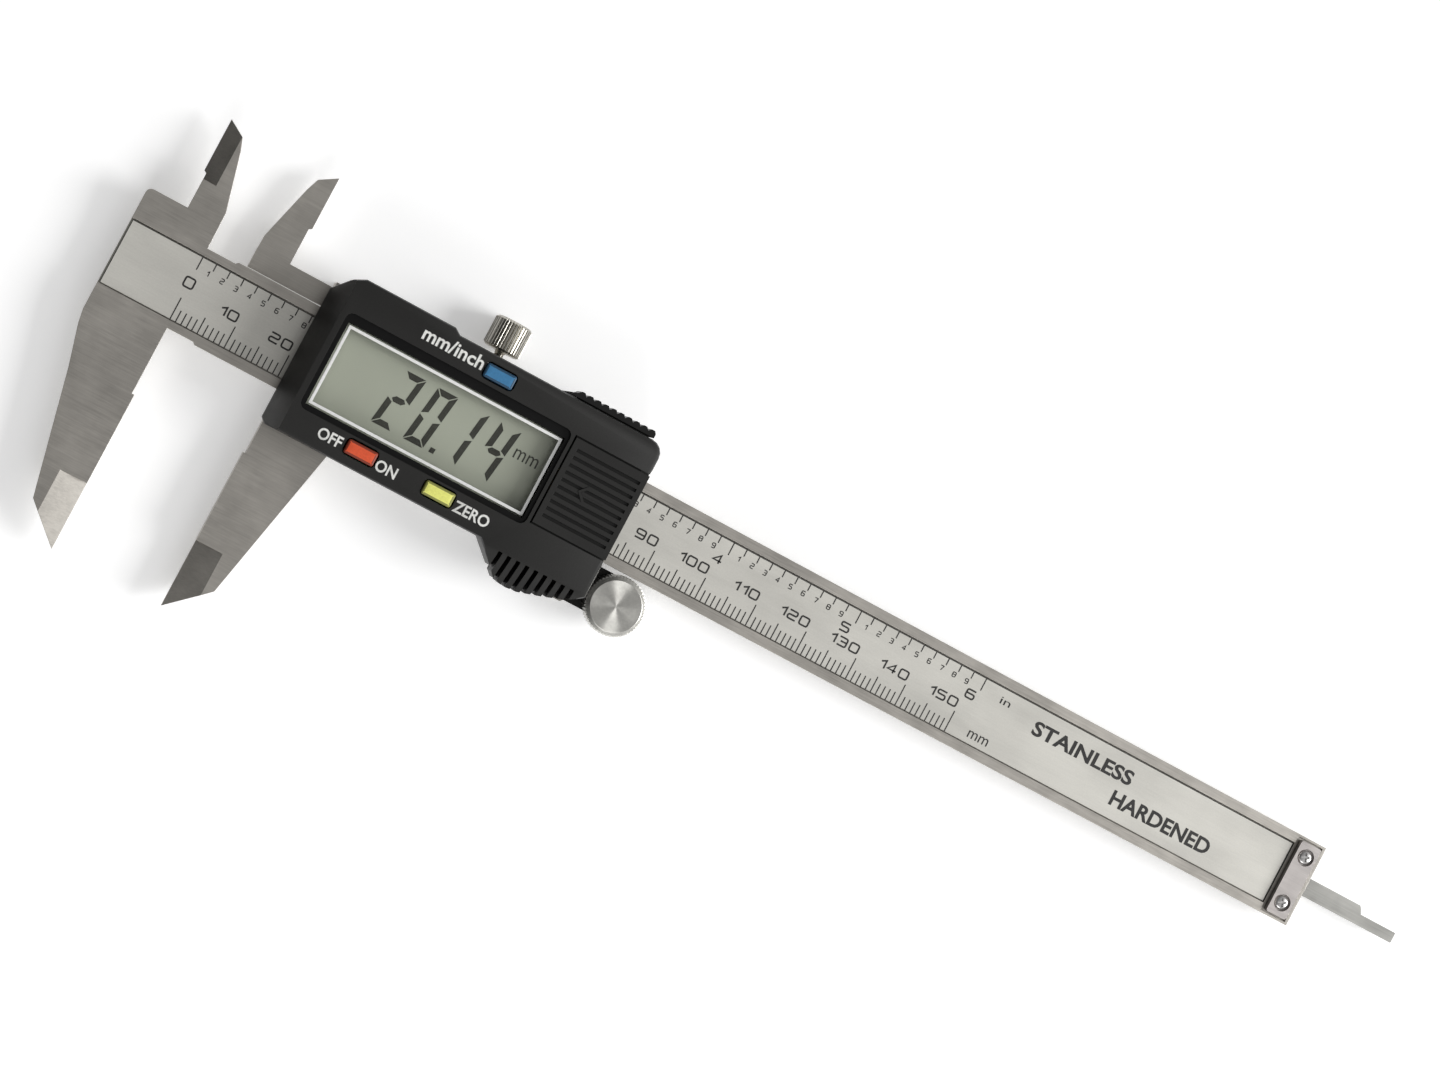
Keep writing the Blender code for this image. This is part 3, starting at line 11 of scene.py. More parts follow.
import bmesh
import bpy
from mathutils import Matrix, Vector

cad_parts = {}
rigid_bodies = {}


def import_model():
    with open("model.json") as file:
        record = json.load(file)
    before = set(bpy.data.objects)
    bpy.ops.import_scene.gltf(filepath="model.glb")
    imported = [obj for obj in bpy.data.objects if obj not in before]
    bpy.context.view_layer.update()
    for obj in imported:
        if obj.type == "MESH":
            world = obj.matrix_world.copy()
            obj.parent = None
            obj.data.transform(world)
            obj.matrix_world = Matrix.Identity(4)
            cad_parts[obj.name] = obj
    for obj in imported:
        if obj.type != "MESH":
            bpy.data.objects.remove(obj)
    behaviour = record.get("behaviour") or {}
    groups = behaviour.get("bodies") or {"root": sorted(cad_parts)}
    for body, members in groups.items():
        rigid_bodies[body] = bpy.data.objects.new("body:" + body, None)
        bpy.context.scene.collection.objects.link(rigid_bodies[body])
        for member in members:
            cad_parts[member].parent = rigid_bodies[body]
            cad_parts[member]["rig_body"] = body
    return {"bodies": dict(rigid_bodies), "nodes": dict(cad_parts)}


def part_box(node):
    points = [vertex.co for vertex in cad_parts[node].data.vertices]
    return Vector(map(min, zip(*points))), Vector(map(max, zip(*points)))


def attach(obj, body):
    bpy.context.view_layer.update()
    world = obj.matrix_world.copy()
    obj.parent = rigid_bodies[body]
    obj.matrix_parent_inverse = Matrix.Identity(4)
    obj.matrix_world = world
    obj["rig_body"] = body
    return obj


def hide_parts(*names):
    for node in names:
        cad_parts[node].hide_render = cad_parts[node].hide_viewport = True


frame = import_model()

bl_info = {
    "name": "Digital caliper finishes",
    "version": (1, 0, 0),
    "blender": (4, 5, 0),
    "location": "3D View > Sidebar > Caliper",
    "description": "Builds the finishes, the printed scale and the fine pieces of a digital caliper",
    "category": "Object",
}

MM = 0.001
PRINT_THICKNESS = 0.02 * MM
TENTH_INCH = 2.54 * MM
LABEL_EDGE = 0.03 * MM  # rounding of thin labels
ONE_WIDTH = 0.62  # width of a one, as a share of the other digits'

loaded = {*frame["nodes"].values(), *frame["bodies"].values()}
for startup_object in set(bpy.data.objects) - loaded:
    bpy.data.objects.remove(startup_object)
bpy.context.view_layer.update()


# Settings


def length(name, description, default):
    """A length that a user may change, in metres."""
    return bpy.props.FloatProperty(
        name=name, description=description, default=default, min=0.0, subtype="DISTANCE", unit="LENGTH"
    )


def colour(name, description, default):
    """A colour that a user may change."""
    return bpy.props.FloatVectorProperty(
        name=name, description=description, default=default, min=0.0, max=1.0, size=3, subtype="COLOR"
    )


class CaliperColours(bpy.types.PropertyGroup):
    """Colours of the finishes"""

    steel: colour("Steel", "Ground steel of the beam and the jaws", (0.50, 0.475, 0.435))
    rod: colour("Rod", "Steel of the depth rod", (0.46, 0.455, 0.43))
    bright: colour("Bright steel", "Steel of the screws, the strip and the cell", (0.62, 0.61, 0.60))
    stop: colour("End plate", "Steel of the plate at the beam's end", (0.50, 0.47, 0.455))
    knob: colour("Knob", "Steel of the lock screw", (0.52, 0.50, 0.45))
    roller: colour("Roller", "Turned steel of the thumb roller", (0.66, 0.65, 0.61))
    label: colour("Scale label", "Ground of the printed scale", (0.66, 0.645, 0.595))
    ink: colour("Ink", "Marks and numbers of the scale", (0.022, 0.021, 0.020))
    plastic: colour("Housing", "Front of the moulded housing", (0.016, 0.0155, 0.0145))
    rim: colour("Display rim", "Polished recess round the display", (0.003, 0.003, 0.003))
    frame: colour("Display frame", "White line round the display", (0.95, 0.95, 0.92))
    screen: colour("Screen", "Ground of the display", (0.63, 0.665, 0.54))
    segment: colour("Segments", "Digits of the display", (0.045, 0.045, 0.035))
    lettering: colour("Lettering", "Words on the housing", (0.78, 0.78, 0.75))
    blue_key: colour("Unit key", "Key that changes the unit", (0.045, 0.20, 0.40))
    red_key: colour("Power key", "Key that turns the display on and off", (0.74, 0.095, 0.03))
    yellow_key: colour("Zero key", "Key that sets zero", (0.84, 0.85, 0.21))


class CaliperEdges(bpy.types.PropertyGroup):
    """Rounding of the sharp edges"""

    steel: length("Steel edges", "Rounding of ground edges", 0.12 * MM)
    plastic: length("Moulded edges", "Rounding of moulded edges", 0.16 * MM)
    small: length("Small parts", "Rounding of screws, contacts and other small parts", 0.05 * MM)


class CaliperScale(bpy.types.PropertyGroup):
    """Printed scale of the beam, measured on its label"""

    zero: length("Zero mark", "From the label's left end to the zero mark", 12.9 * MM)
    mark_width: length("Mark width", "Width of a printed mark", 0.2 * MM)
    short_mark: length("Millimetre mark", "Length of each millimetre's mark", 2.05 * MM)
    middle_mark: length("Fifth mark", "Length of each fifth millimetre's mark", 2.9 * MM)
    long_mark: length("Tenth mark", "Length of each tenth millimetre's mark", 3.95 * MM)
    tenth_mark: length("Tenth of an inch", "Length of a tenth of an inch's mark", 1.35 * MM)
    inch_mark: length("Inch mark", "Length of an inch's mark", 2.4 * MM)
    number_rise: length("Number rise", "From the label's lower edge to the numbers", 4.45 * MM)
    number_height: length("Number height", "Height of the millimetre and inch numbers", 1.8 * MM)
    number_width: length("Digit width", "Width of one digit", 1.9 * MM)
    number_gap: length("Digit gap", "Gap between two digits", 0.42 * MM)
    stroke: length("Stroke", "Width of a digit's stroke", 0.30 * MM)
    inch_rise: length("Inch number rise", "From the label's lower edge to the inch numbers", 6.9 * MM)
    small_height: length("Small digit height", "Height of the digits at the tenths", 1.0 * MM)
    small_rise: length("Small digit rise", "From the label's lower edge to those digits", 9.0 * MM)


class CaliperDisplay(bpy.types.PropertyGroup):
    """Reading of the display, measured on its glass"""

    reading: bpy.props.StringProperty(name="Reading", description="Number shown", default="20.14")
    left: length("Left", "From the glass's left edge to the first digit", 10.85 * MM)
    bottom: length("Bottom", "From the glass's lower edge to the digits", 2.45 * MM)
    pitch: length("Pitch", "From one digit to the next", 6.0 * MM)
    width: length("Digit width", "Width of a digit", 3.8 * MM)
    height: length("Digit height", "Height of a digit", 10.2 * MM)
    segment: length("Segment", "Width of a segment", 1.06 * MM)
    slant: length("Slant", "How far a digit's top leans to the right", 1.4 * MM)
    gap: length("Gap", "Gap between two segments", 0.13 * MM)


class CaliperDetails(bpy.types.PropertyGroup):
    """Knurls, threads and moulded marks"""

    knob_teeth: bpy.props.IntProperty(
        name="Knob teeth", description="Teeth of the lock screw's knurl", default=36, min=8
    )
    knob_depth: length("Knob knurl", "Depth of the lock screw's knurl", 0.3 * MM)
    thread_pitch: length("Thread pitch", "Pitch of the lock screw's thread", 0.45 * MM)
    roller_teeth: bpy.props.IntProperty(
        name="Roller teeth", description="Teeth of the thumb roller's knurl", default=52, min=8
    )
    roller_depth: length("Roller knurl", "Depth of the thumb roller's knurl", 0.22 * MM)
    knob_length: length("Knob length", "Length of the lock screw's knob", 5.6 * MM)
    screw_radius: length("Screw radius", "Radius of the lock screw's thread", 0.9 * MM)
    thread_depth: length("Thread depth", "Depth of the lock screw's thread", 0.16 * MM)
    roller_bore: length("Roller bore", "Radius of the thumb roller's bore", 1.3 * MM)
    roller_wall: length("Roller wall", "Thickness of the thumb roller's face", 0.6 * MM)
    grip_drop: length("Grip drop", "How far the grip reaches below the housing", 5.4 * MM)
    grip_length: length("Grip length", "Length of the grip along the housing", 20.2 * MM)
    grip_slope: length("Grip slope", "How far the grip's front slopes back", 1.6 * MM)
    grip_groove: length("Grip groove", "Width of a groove in the grip", 0.75 * MM)
    grip_pitch: length("Grip pitch", "From one groove to the next", 1.7 * MM)
    grip_inset: length("Grip inset", "From the housing's right end to the first groove", 2.6 * MM)
    groove_floor: length("Groove floor", "Plastic left behind a groove", 1.2 * MM)
    grip_grooves: bpy.props.IntProperty(
        name="Grip grooves", description="Grooves in the grip", default=9, min=0
    )
    key_flange: length("Key flange", "How far a key's flange reaches past its cap", 0.5 * MM)
    flange_thickness: length("Flange thickness", "Thickness of a key's flange", 0.6 * MM)
    recess_reach: length("Recess reach", "How far the polished recess passes the window", 1.6 * MM)
    symbol_stroke: length("Symbol stroke", "Width of the battery cover's arrow", 0.45 * MM)
    symbol_rise: length("Symbol rise", "Height of the battery cover's arrow", 0.12 * MM)


class CaliperStage(bpy.types.PropertyGroup):
    """Camera, lights and floor"""

    camera_place: bpy.props.FloatVectorProperty(
        name="Camera place", subtype="TRANSLATION", unit="LENGTH",
        description="Where the camera stands, from the scale label's lower left corner",
        default=(0.00397, -0.00485, 0.55435),
    )
    camera_turn: bpy.props.FloatVectorProperty(
        name="Camera turn", description="Turn of the camera about X, Y and Z", subtype="EULER",
        unit="ROTATION", default=(math.radians(-3.826), math.radians(-10.477), math.radians(28.445)),
    )
    lens: bpy.props.FloatProperty(
        name="Lens", description="Focal length in millimetres", default=82.64, unit="CAMERA"
    )
    floor_size: length("Floor", "Side of the floor", 4.0)
    key_power: bpy.props.FloatProperty(
        name="Key light", description="Power of the large light", default=30.0, unit="POWER"
    )
    fill_power: bpy.props.FloatProperty(
        name="Fill light", description="Power of the small light", default=6.0, unit="POWER"
    )
    sky: bpy.props.FloatProperty(
        name="Room", description="Brightness of the room overhead", default=0.85, min=0.0
    )


# Finishes


def add_node(tree, kind, inputs=None, **settings):
    """A shader node with these settings and input values."""
    made = tree.nodes.new(kind)
    for name, value in settings.items():
        setattr(made, name, value)
    for name, value in (inputs or {}).items():
        made.inputs[name].default_value = value
    return made


def start_finish(name, metallic, roughness, **sockets):
    """A new material: (material, its node tree, its Principled shader)."""
    finish = bpy.data.materials.new(name)
    finish.use_nodes = True
    shader = finish.node_tree.nodes["Principled BSDF"]
    shader.inputs["Metallic"].default_value = metallic
    shader.inputs["Roughness"].default_value = roughness
    for socket, value in sockets.items():
        shader.inputs[socket.replace("_", " ")].default_value = value
    return finish, finish.node_tree, shader


def add_noise(tree, size, detail=3.0, offset=0.0):
    """A noise whose features are about size (along X, Y and Z) across on the piece."""
    place = add_node(tree, "ShaderNodeTexCoord")
    stretch = add_node(tree, "ShaderNodeMapping")
    stretch.inputs["Scale"].default_value = [1.0 / side for side in size]
    stretch.inputs["Location"].default_value = (offset, offset, offset)
    noise = add_node(tree, "ShaderNodeTexNoise", {"Scale": 1.0, "Detail": detail, "Roughness": 0.6})
    tree.links.new(place.outputs["Object"], stretch.inputs["Vector"])
    tree.links.new(stretch.outputs["Vector"], noise.inputs["Vector"])
    return noise.outputs["Fac"]


def mixed(tree, first, second, share):
    """The two patterns mixed, with that share of the second."""
    mix = add_node(tree, "ShaderNodeMix", {"Factor": share})
    tree.links.new(first, mix.inputs["A"])
    tree.links.new(second, mix.inputs["B"])
    return mix.outputs["Result"]


def tint(tree, shader, pattern, dark, light, low=0.34, high=0.66):
    """Base colour from dark to light over the pattern."""
    ramp = add_node(tree, "ShaderNodeValToRGB")
    ramp.color_ramp.elements[0].position = low
    ramp.color_ramp.elements[1].position = high
    ramp.color_ramp.elements[0].color = (*dark, 1.0)
    ramp.color_ramp.elements[1].color = (*light, 1.0)
    tree.links.new(pattern, ramp.inputs["Fac"])
    tree.links.new(ramp.outputs["Color"], shader.inputs["Base Color"])


def vary(tree, shader, pattern, socket, low, high):
    """A socket from low to high over the pattern."""
    spread = add_node(
        tree, "ShaderNodeMapRange", {"From Min": 0.32, "From Max": 0.68, "To Min": low, "To Max": high}
    )
    tree.links.new(pattern, spread.inputs["Value"])
    tree.links.new(spread.outputs["Result"], shader.inputs[socket])


def relief(tree, shader, pattern, depth, strength=1.0):
    """Bumps as deep as depth from the pattern."""
    bump = add_node(tree, "ShaderNodeBump", {"Strength": strength, "Distance": depth})
    tree.links.new(pattern, bump.inputs["Height"])
    tree.links.new(bump.outputs["Normal"], shader.inputs["Normal"])


def shades(base, spread):
    """A darker and a lighter shade of a colour."""
    return [c * (1.0 - spread) for c in base], [min(c * (1.0 + spread), 1.0) for c in base]


def made_once(build):
    """Keeps one material for each finish name. The frame's own materials have the plain names."""

    def finish(name, *settings, **sockets):
        fine_name = "fine_" + name
        return bpy.data.materials.get(fine_name) or build(fine_name, *settings, **sockets)

    return finish


@made_once
def ground_steel(name, base, roughness, line, **sockets):
    """Steel with fine grinding lines, whose features measure line along X, Y and Z."""
    finish, tree, shader = start_finish(name, 1.0, roughness, **sockets)
    lines = add_noise(tree, line)
    patches = add_noise(tree, (9 * MM, 9 * MM, 9 * MM), 4.0, 3.0)
    scratches = add_noise(tree, [side * 2.7 for side in line], 1.0, 7.0)
    both = mixed(tree, mixed(tree, lines, scratches, 0.35), patches, 0.45)
    tint(tree, shader, both, *shades(base, 0.16))
    vary(tree, shader, both, "Roughness", roughness - 0.07, roughness + 0.09)
    relief(tree, shader, lines, 0.006 * MM, 0.6)
    return finish


@made_once
def turned_steel(name, base, roughness, anisotropy):
    """Steel with the circular lines of a lathe, which turn its highlights into wedges."""
    finish, tree, shader = start_finish(name, 1.0, roughness, Anisotropic=anisotropy)
    around = add_node(tree, "ShaderNodeTangent", direction_type="RADIAL", axis="Z")
    tree.links.new(around.outputs["Tangent"], shader.inputs["Tangent"])
    grain = add_noise(tree, (0.5 * MM, 0.5 * MM, 0.2 * MM))
    patches = add_noise(tree, (3 * MM, 3 * MM, 3 * MM), 3.0, 5.0)
    tint(tree, shader, mixed(tree, grain, patches, 0.5), *shades(base, 0.12))
    vary(tree, shader, patches, "Roughness", roughness - 0.05, roughness + 0.08)
    relief(tree, shader, grain, 0.004 * MM, 0.4)
    return finish


@made_once
def moulded_plastic(name, base, roughness, grain, depth, **sockets):
    """Plastic with a moulded grain of that size and depth, and faint shiny patches of use."""
    finish, tree, shader = start_finish(name, 0.0, roughness, **sockets)
    grains = add_noise(tree, (grain, grain, grain), 4.0)
    patches = add_noise(tree, (12 * MM, 12 * MM, 12 * MM), 4.0, 11.0)
    tint(tree, shader, mixed(tree, grains, patches, 0.4), *shades(base, 0.14))
    vary(tree, shader, patches, "Roughness", roughness - 0.08, roughness + 0.08)
    relief(tree, shader, grains, depth)
    return finish


def satin_steel(tints):
    """The ground steel of the beam and of the slider, with lines along the beam."""
    return ground_steel("satin_steel", tints.steel, 0.40, (4 * MM, 0.12 * MM, 0.12 * MM))


def bright_steel(tints):
    """The smoother steel of small parts."""
    return ground_steel("bright_steel", tints.bright, 0.26, (3 * MM, 0.1 * MM, 0.1 * MM))


def housing_plastic(tints):
    """The matt grained front of the housing and of the covers."""
    return moulded_plastic(
        "black_plastic", tints.plastic, 0.58, 0.22 * MM, 0.012 * MM, Specular_IOR_Level=0.32
    )


def groove_plastic(tints):
    """The smoother plastic of side walls and grooves, darker by painted shade."""
    # Painted shade: the housing's plastic at half its colour.
    return moulded_plastic(
        "side_plastic", [c * 0.5 for c in tints.plastic], 0.42, 0.4 * MM, 0.006 * MM,
        Specular_IOR_Level=0.3,
    )


def black_rubber():
    """The dull rubber of the switches and of the display's contact strips."""
    return moulded_plastic("black_rubber", (0.02, 0.02, 0.02), 0.8, 0.3 * MM, 0.01 * MM)


@made_once
def printed_ink(name, base, roughness):
    """Ink with the slight unevenness of a screen print."""
    finish, tree, shader = start_finish(name, 0.0, roughness)
    spots = add_noise(tree, (0.25 * MM, 0.25 * MM, 0.25 * MM), 3.0)
    wear = add_noise(tree, (6 * MM, 4 * MM, 4 * MM), 3.0, 2.0)
    both = mixed(tree, spots, wear, 0.5)
    tint(tree, shader, both, *shades(base, 0.25))
    vary(tree, shader, both, "Roughness", roughness - 0.08, roughness + 0.08)
    return finish


@made_once
def speckled_label(name, base):
    """Brushed foil under a clear layer, with fine specks and faint lines along the beam."""
    finish, tree, shader = start_finish(name, 0.4, 0.45, Coat_Weight=0.2, Coat_Roughness=0.3)
    lines = add_noise(tree, (5 * MM, 0.18 * MM, 1 * MM), 3.0)
    specks = add_noise(tree, (0.3 * MM, 0.3 * MM, 0.3 * MM), 2.0, 4.0)
    patches = add_noise(tree, (22 * MM, 8 * MM, 8 * MM), 3.0, 9.0)
    both = mixed(tree, mixed(tree, lines, specks, 0.5), patches, 0.4)
    tint(tree, shader, both, *shades(base, 0.07))
    vary(tree, shader, patches, "Roughness", 0.38, 0.55)
    relief(tree, shader, lines, 0.003 * MM, 0.5)
    return finish


@made_once
def screen_glass(name, base, middle, reach):
    """Grey-green screen with painted shade darker towards its edges, and the faint grain of its polariser.
    """
    finish, tree, shader = start_finish(name, 0.0, 0.35, Coat_Weight=0.3, Coat_Roughness=0.12)
    place = add_node(tree, "ShaderNodeTexCoord")
    from_middle = add_node(tree, "ShaderNodeMapping", vector_type="TEXTURE")
    from_middle.inputs["Location"].default_value = middle
    from_middle.inputs["Scale"].default_value = reach
    # Painted shade: a sphere gradient from the middle darkens the colour towards the glass's edges, where
    # the frame's shadow falls.
    painted_edge_shade = add_node(tree, "ShaderNodeTexGradient", gradient_type="QUADRATIC_SPHERE")
    tree.links.new(place.outputs["Object"], from_middle.inputs["Vector"])
    tree.links.new(from_middle.outputs["Vector"], painted_edge_shade.inputs["Vector"])
    grain = add_noise(tree, (0.15 * MM, 0.15 * MM, 0.15 * MM), 2.0)
    both = mixed(tree, painted_edge_shade.outputs["Fac"], grain, 0.15)
    # The darker colour is the painted shade at the edges.
    tint(tree, shader, both, [c * 0.76 for c in base], base, 0.02, 0.42)
    vary(tree, shader, grain, "Roughness", 0.3, 0.42)
    return finish


@made_once
def circuit_green(name, base):
    """Solder mask over copper tracks, with the weave of the glass cloth under it."""
    finish, tree, shader = start_finish(name, 0.0, 0.4, Coat_Weight=0.3, Coat_Roughness=0.2)
    place = add_node(tree, "ShaderNodeTexCoord")
    tracks = add_node(tree, "ShaderNodeTexBrick", {"Scale": 260.0, "Mortar Size": 0.03}, offset=0.5)
    tracks.inputs["Color1"].default_value = (*base, 1.0)
    tracks.inputs["Color2"].default_value = (*[c * 0.8 for c in base], 1.0)
    tracks.inputs["Mortar"].default_value = (*[min(c * 1.9, 1.0) for c in base], 1.0)
    tree.links.new(place.outputs["Object"], tracks.inputs["Vector"])
    tree.links.new(tracks.outputs["Color"], shader.inputs["Base Color"])
    weave = add_noise(tree, (0.4 * MM, 0.4 * MM, 0.4 * MM), 2.0)
    vary(tree, shader, weave, "Roughness", 0.3, 0.5)
    relief(tree, shader, weave, 0.01 * MM, 0.5)
    return finish


def board_green():
    """The green of every circuit board."""
    return circuit_green("board_green", (0.04, 0.16, 0.08))


@made_once
def clear_plastic(name):
    """Thin clear window, seen by its gloss and by the faint haze of fine scratches."""
    finish, tree, shader = start_finish(name, 0.0, 0.06, Alpha=0.07, IOR=1.49)
    haze = add_noise(tree, (6 * MM, 3 * MM, 3 * MM), 4.0)
    tint(tree, shader, haze, (0.03, 0.035, 0.03), (0.08, 0.09, 0.08))
    vary(tree, shader, haze, "Roughness", 0.04, 0.10)
    finish.surface_render_method = "BLENDED"
    return finish


# Mesh building blocks


def add_piece(name, mesh, body, slot, finishes, replaced=()):
    """An object that rides on a body, and stands for the replaced nodes."""
    for finish in finishes:
        mesh.materials.append(finish)
    piece = bpy.data.objects.new(name, mesh)
    bpy.context.scene.collection.objects.link(piece)
    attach(piece, body)
    if replaced:
        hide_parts(*replaced)
    return piece


def finished_mesh(build, name, smooth_angle=None):
    """The mesh of a bmesh. With an angle, its faces are smooth up to that angle."""
    bmesh.ops.recalc_face_normals(build, faces=build.faces)
    mesh = bpy.data.meshes.new(name)
    if smooth_angle is not None:
        for face in build.faces:
            face.smooth = True
    build.to_mesh(mesh)
    build.free()
    if smooth_angle is not None:
        mesh.set_sharp_from_angle(angle=smooth_angle)
    return mesh


def carved(mesh, cutter):
    """The mesh with the cutter's solid taken out of it."""
    holder = bpy.data.objects.new("carved", mesh)
    tool = bpy.data.objects.new("cutter", cutter)
    for solid in (holder, tool):
        bpy.context.scene.collection.objects.link(solid)
    cut = holder.modifiers.new("Cut", "BOOLEAN")
    cut.object = tool
    bpy.context.view_layer.update()
    result = bpy.data.meshes.new_from_object(holder.evaluated_get(bpy.context.evaluated_depsgraph_get()))
    for solid in (holder, tool):
        bpy.data.objects.remove(solid)
    return result


def softened(node, edge, finishes, slot, choose=None, cutters=(), crisp=None):
    """A copy of a node with its sharp edges rounded, which stands for that node.

    choose gives each face's place among the finishes from its middle and its normal. The
    cutters are solids that are taken out of the copy first. Edges past the crisp angle, in
    degrees, keep a sharp line even where they are too blunt to round.
    """
    build = bmesh.new()
    build.from_mesh(frame["nodes"][node].data)
    if cutters:
        bmesh.ops.remove_doubles(build, verts=build.verts, dist=0.002 * MM)
        solid = bpy.data.meshes.new(node)
        build.to_mesh(solid)
        for cutter in cutters:
            solid = carved(solid, cutter)
        build.clear()
        build.from_mesh(solid)
    bmesh.ops.remove_doubles(build, verts=build.verts, dist=0.002 * MM)
    bmesh.ops.dissolve_limit(build, angle_limit=math.radians(0.4), verts=build.verts, edges=build.edges)
    for face in build.faces:
        face.smooth = True
        face.material_index = choose(face.calc_center_median(), face.normal) if choose else 0
    mesh = bpy.data.meshes.new(node + "_fine")
    build.to_mesh(mesh)
    build.free()
    if "custom_normal" in mesh.attributes:
        mesh.attributes.remove(mesh.attributes["custom_normal"])
    if crisp is not None:
        mesh.set_sharp_from_angle(angle=math.radians(crisp))
    body = frame["nodes"][node]["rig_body"]
    piece = add_piece(node + "_fine", mesh, body, slot, finishes, [node])
    bevel = piece.modifiers.new("Rounded edges", "BEVEL")
    bevel.width = edge
    bevel.segments = 2
    bevel.limit_method = "ANGLE"
    bevel.angle_limit = math.radians(32)
    bevel.harden_normals = True
    return piece


def rounded(points, radius, steps=3):
    """The line through these points with its corners turned into arcs. A closed line ends where it
    starts."""
    points = [Vector(p) for p in points]
    closed = (points[0] - points[-1]).length < 1e-9
    last = len(points) - 1
    line = [] if closed else [points[0]]
    for i in range(0 if closed else 1, last):
        before = points[i - 1] if i else points[last - 1]
        corner, after = points[i], points[i + 1]
        back, on = before - corner, after - corner
        reach = min(radius, back.length * 0.45, on.length * 0.45)
        start, end = corner + back.normalized() * reach, corner + on.normalized() * reach
        for step in range(steps + 1):
            t = step / steps
            line.append(start * (1 - t) ** 2 + corner * (2 * t * (1 - t)) + end * t**2)
    line.append(line[0] if closed else points[last])
    return line


def add_stroke(build, points, width, level, thickness=PRINT_THICKNESS):
    """Adds a flat raised line of that width through points (x, y), its foot at that level."""
    closed = (points[0] - points[-1]).length < 1e-9
    line = points[:-1] if closed else points
    count = len(line)
    rings = []
    for i, point in enumerate(line):
        before = line[i - 1] if closed or i else None
        after = line[(i + 1) % count] if closed or i < count - 1 else None
        into = (point - before).normalized() if before is not None else (after - point).normalized()
        out = (after - point).normalized() if after is not None else into
        across = Vector((-(into + out).y, (into + out).x)).normalized()
        half = width / 2 / max(across.dot(Vector((-into.y, into.x))), 0.5)
        one, two = point + across * half, point - across * half
        corners = ((one, 0), (one, thickness), (two, thickness), (two, 0))
        rings.append([build.verts.new((side.x, side.y, level + rise)) for side, rise in corners])
    for i in range(count if closed else count - 1):
        one, two = rings[i], rings[(i + 1) % count]
        for k in range(4):
            build.faces.new((one[k], one[(k + 1) % 4], two[(k + 1) % 4], two[k]))
    if not closed:
        build.faces.new(rings[0][::-1])
        build.faces.new(rings[-1])


def add_bar(build, start, end, width, level, thickness=PRINT_THICKNESS):
    """Adds one straight raised line."""
    add_stroke(build, [Vector(start), Vector(end)], width, level, thickness)


def add_plate(build, outline, level, thickness=PRINT_THICKNESS):
    """Adds a flat plate with that outline, its foot at that level."""
    foot = [build.verts.new((x, y, level)) for x, y in outline]
    top = [build.verts.new((x, y, level + thickness)) for x, y in outline]
    count = len(outline)
    build.faces.new(foot[::-1])
    build.faces.new(top)
    for i in range(count):
        build.faces.new((foot[i], foot[(i + 1) % count], top[(i + 1) % count], top[i]))


def add_word(build, text, low, high, level, weight=0.0, thickness=PRINT_THICKNESS):
    """Adds a word in Blender's own font, scaled to fill the box from low to high (x, y)."""
    lettering = bpy.data.curves.new("lettering", "FONT")
    lettering.body = text
    lettering.extrude = 0.1
    lettering.offset = weight
    lettering.resolution_u = 4
    holder = bpy.data.objects.new("lettering", lettering)
    bpy.context.scene.collection.objects.link(holder)
    bpy.context.view_layer.update()
    mesh = bpy.data.meshes.new_from_object(holder.evaluated_get(bpy.context.evaluated_depsgraph_get()))
    corners = [vertex.co for vertex in mesh.vertices]
    left, bottom = min(c.x for c in corners), min(c.y for c in corners)
    wide, tall = max(c.x for c in corners) - left, max(c.y for c in corners) - bottom
    for vertex in mesh.vertices:
        x, y, z = vertex.co
        vertex.co = (
            low[0] + (x - left) / wide * (high[0] - low[0]),
            low[1] + (y - bottom) / tall * (high[1] - low[1]),
            level + (thickness if z > 0 else 0.0),
        )
    build.from_mesh(mesh)
    bpy.data.objects.remove(holder)
    bpy.data.curves.remove(lettering)
    bpy.data.meshes.remove(mesh)


def word_box(x, y, sides):
    """The corners of a word's box, from its sides in millimetres past (x, y)."""
    left, right, bottom, top = (side * MM for side in sides)
    return (x + left, y + bottom), (x + right, y + top)


def add_rings(build, rings):
    """Joins rings of points into one closed solid with fans at its two ends, and gives its faces."""
    rows = [[build.verts.new(point) for point in ring] for ring in rings]
    count = len(rows[0])
    faces = []
    for one, two in zip(rows, rows[1:]):
        for i in range(count):
            faces.append(build.faces.new((one[i], one[(i + 1) % count], two[(i + 1) % count], two[i])))
    for row, ring in ((rows[0], rings[0]), (rows[-1], rings[-1])):
        middle = build.verts.new(sum((Vector(p) for p in ring), Vector()) / count)
        for i in range(count):
            faces.append(build.faces.new((row[i], row[(i + 1) % count], middle)))
    return faces


def lathe_rings(stations, around, place):
    """Rings of a turned piece. A station is (distance along the axis, radius at an angle)."""
    turns = [2 * math.pi * i / around for i in range(around)]
    return [[place(along, radius(turn), turn) for turn in turns] for along, radius in stations]


def plain_radius(radius):
    """The same radius all the way round."""
    return lambda turn: radius


def knurled_radius(radius, depth, teeth):
    """Flat-topped teeth that run along the axis."""

    def at(turn):
        phase = (turn * teeth / (2 * math.pi)) % 1.0
        return radius - depth * min(max(abs(phase - 0.5) * 4 - 1, 0.0), 1.0)

    return at


# Digits


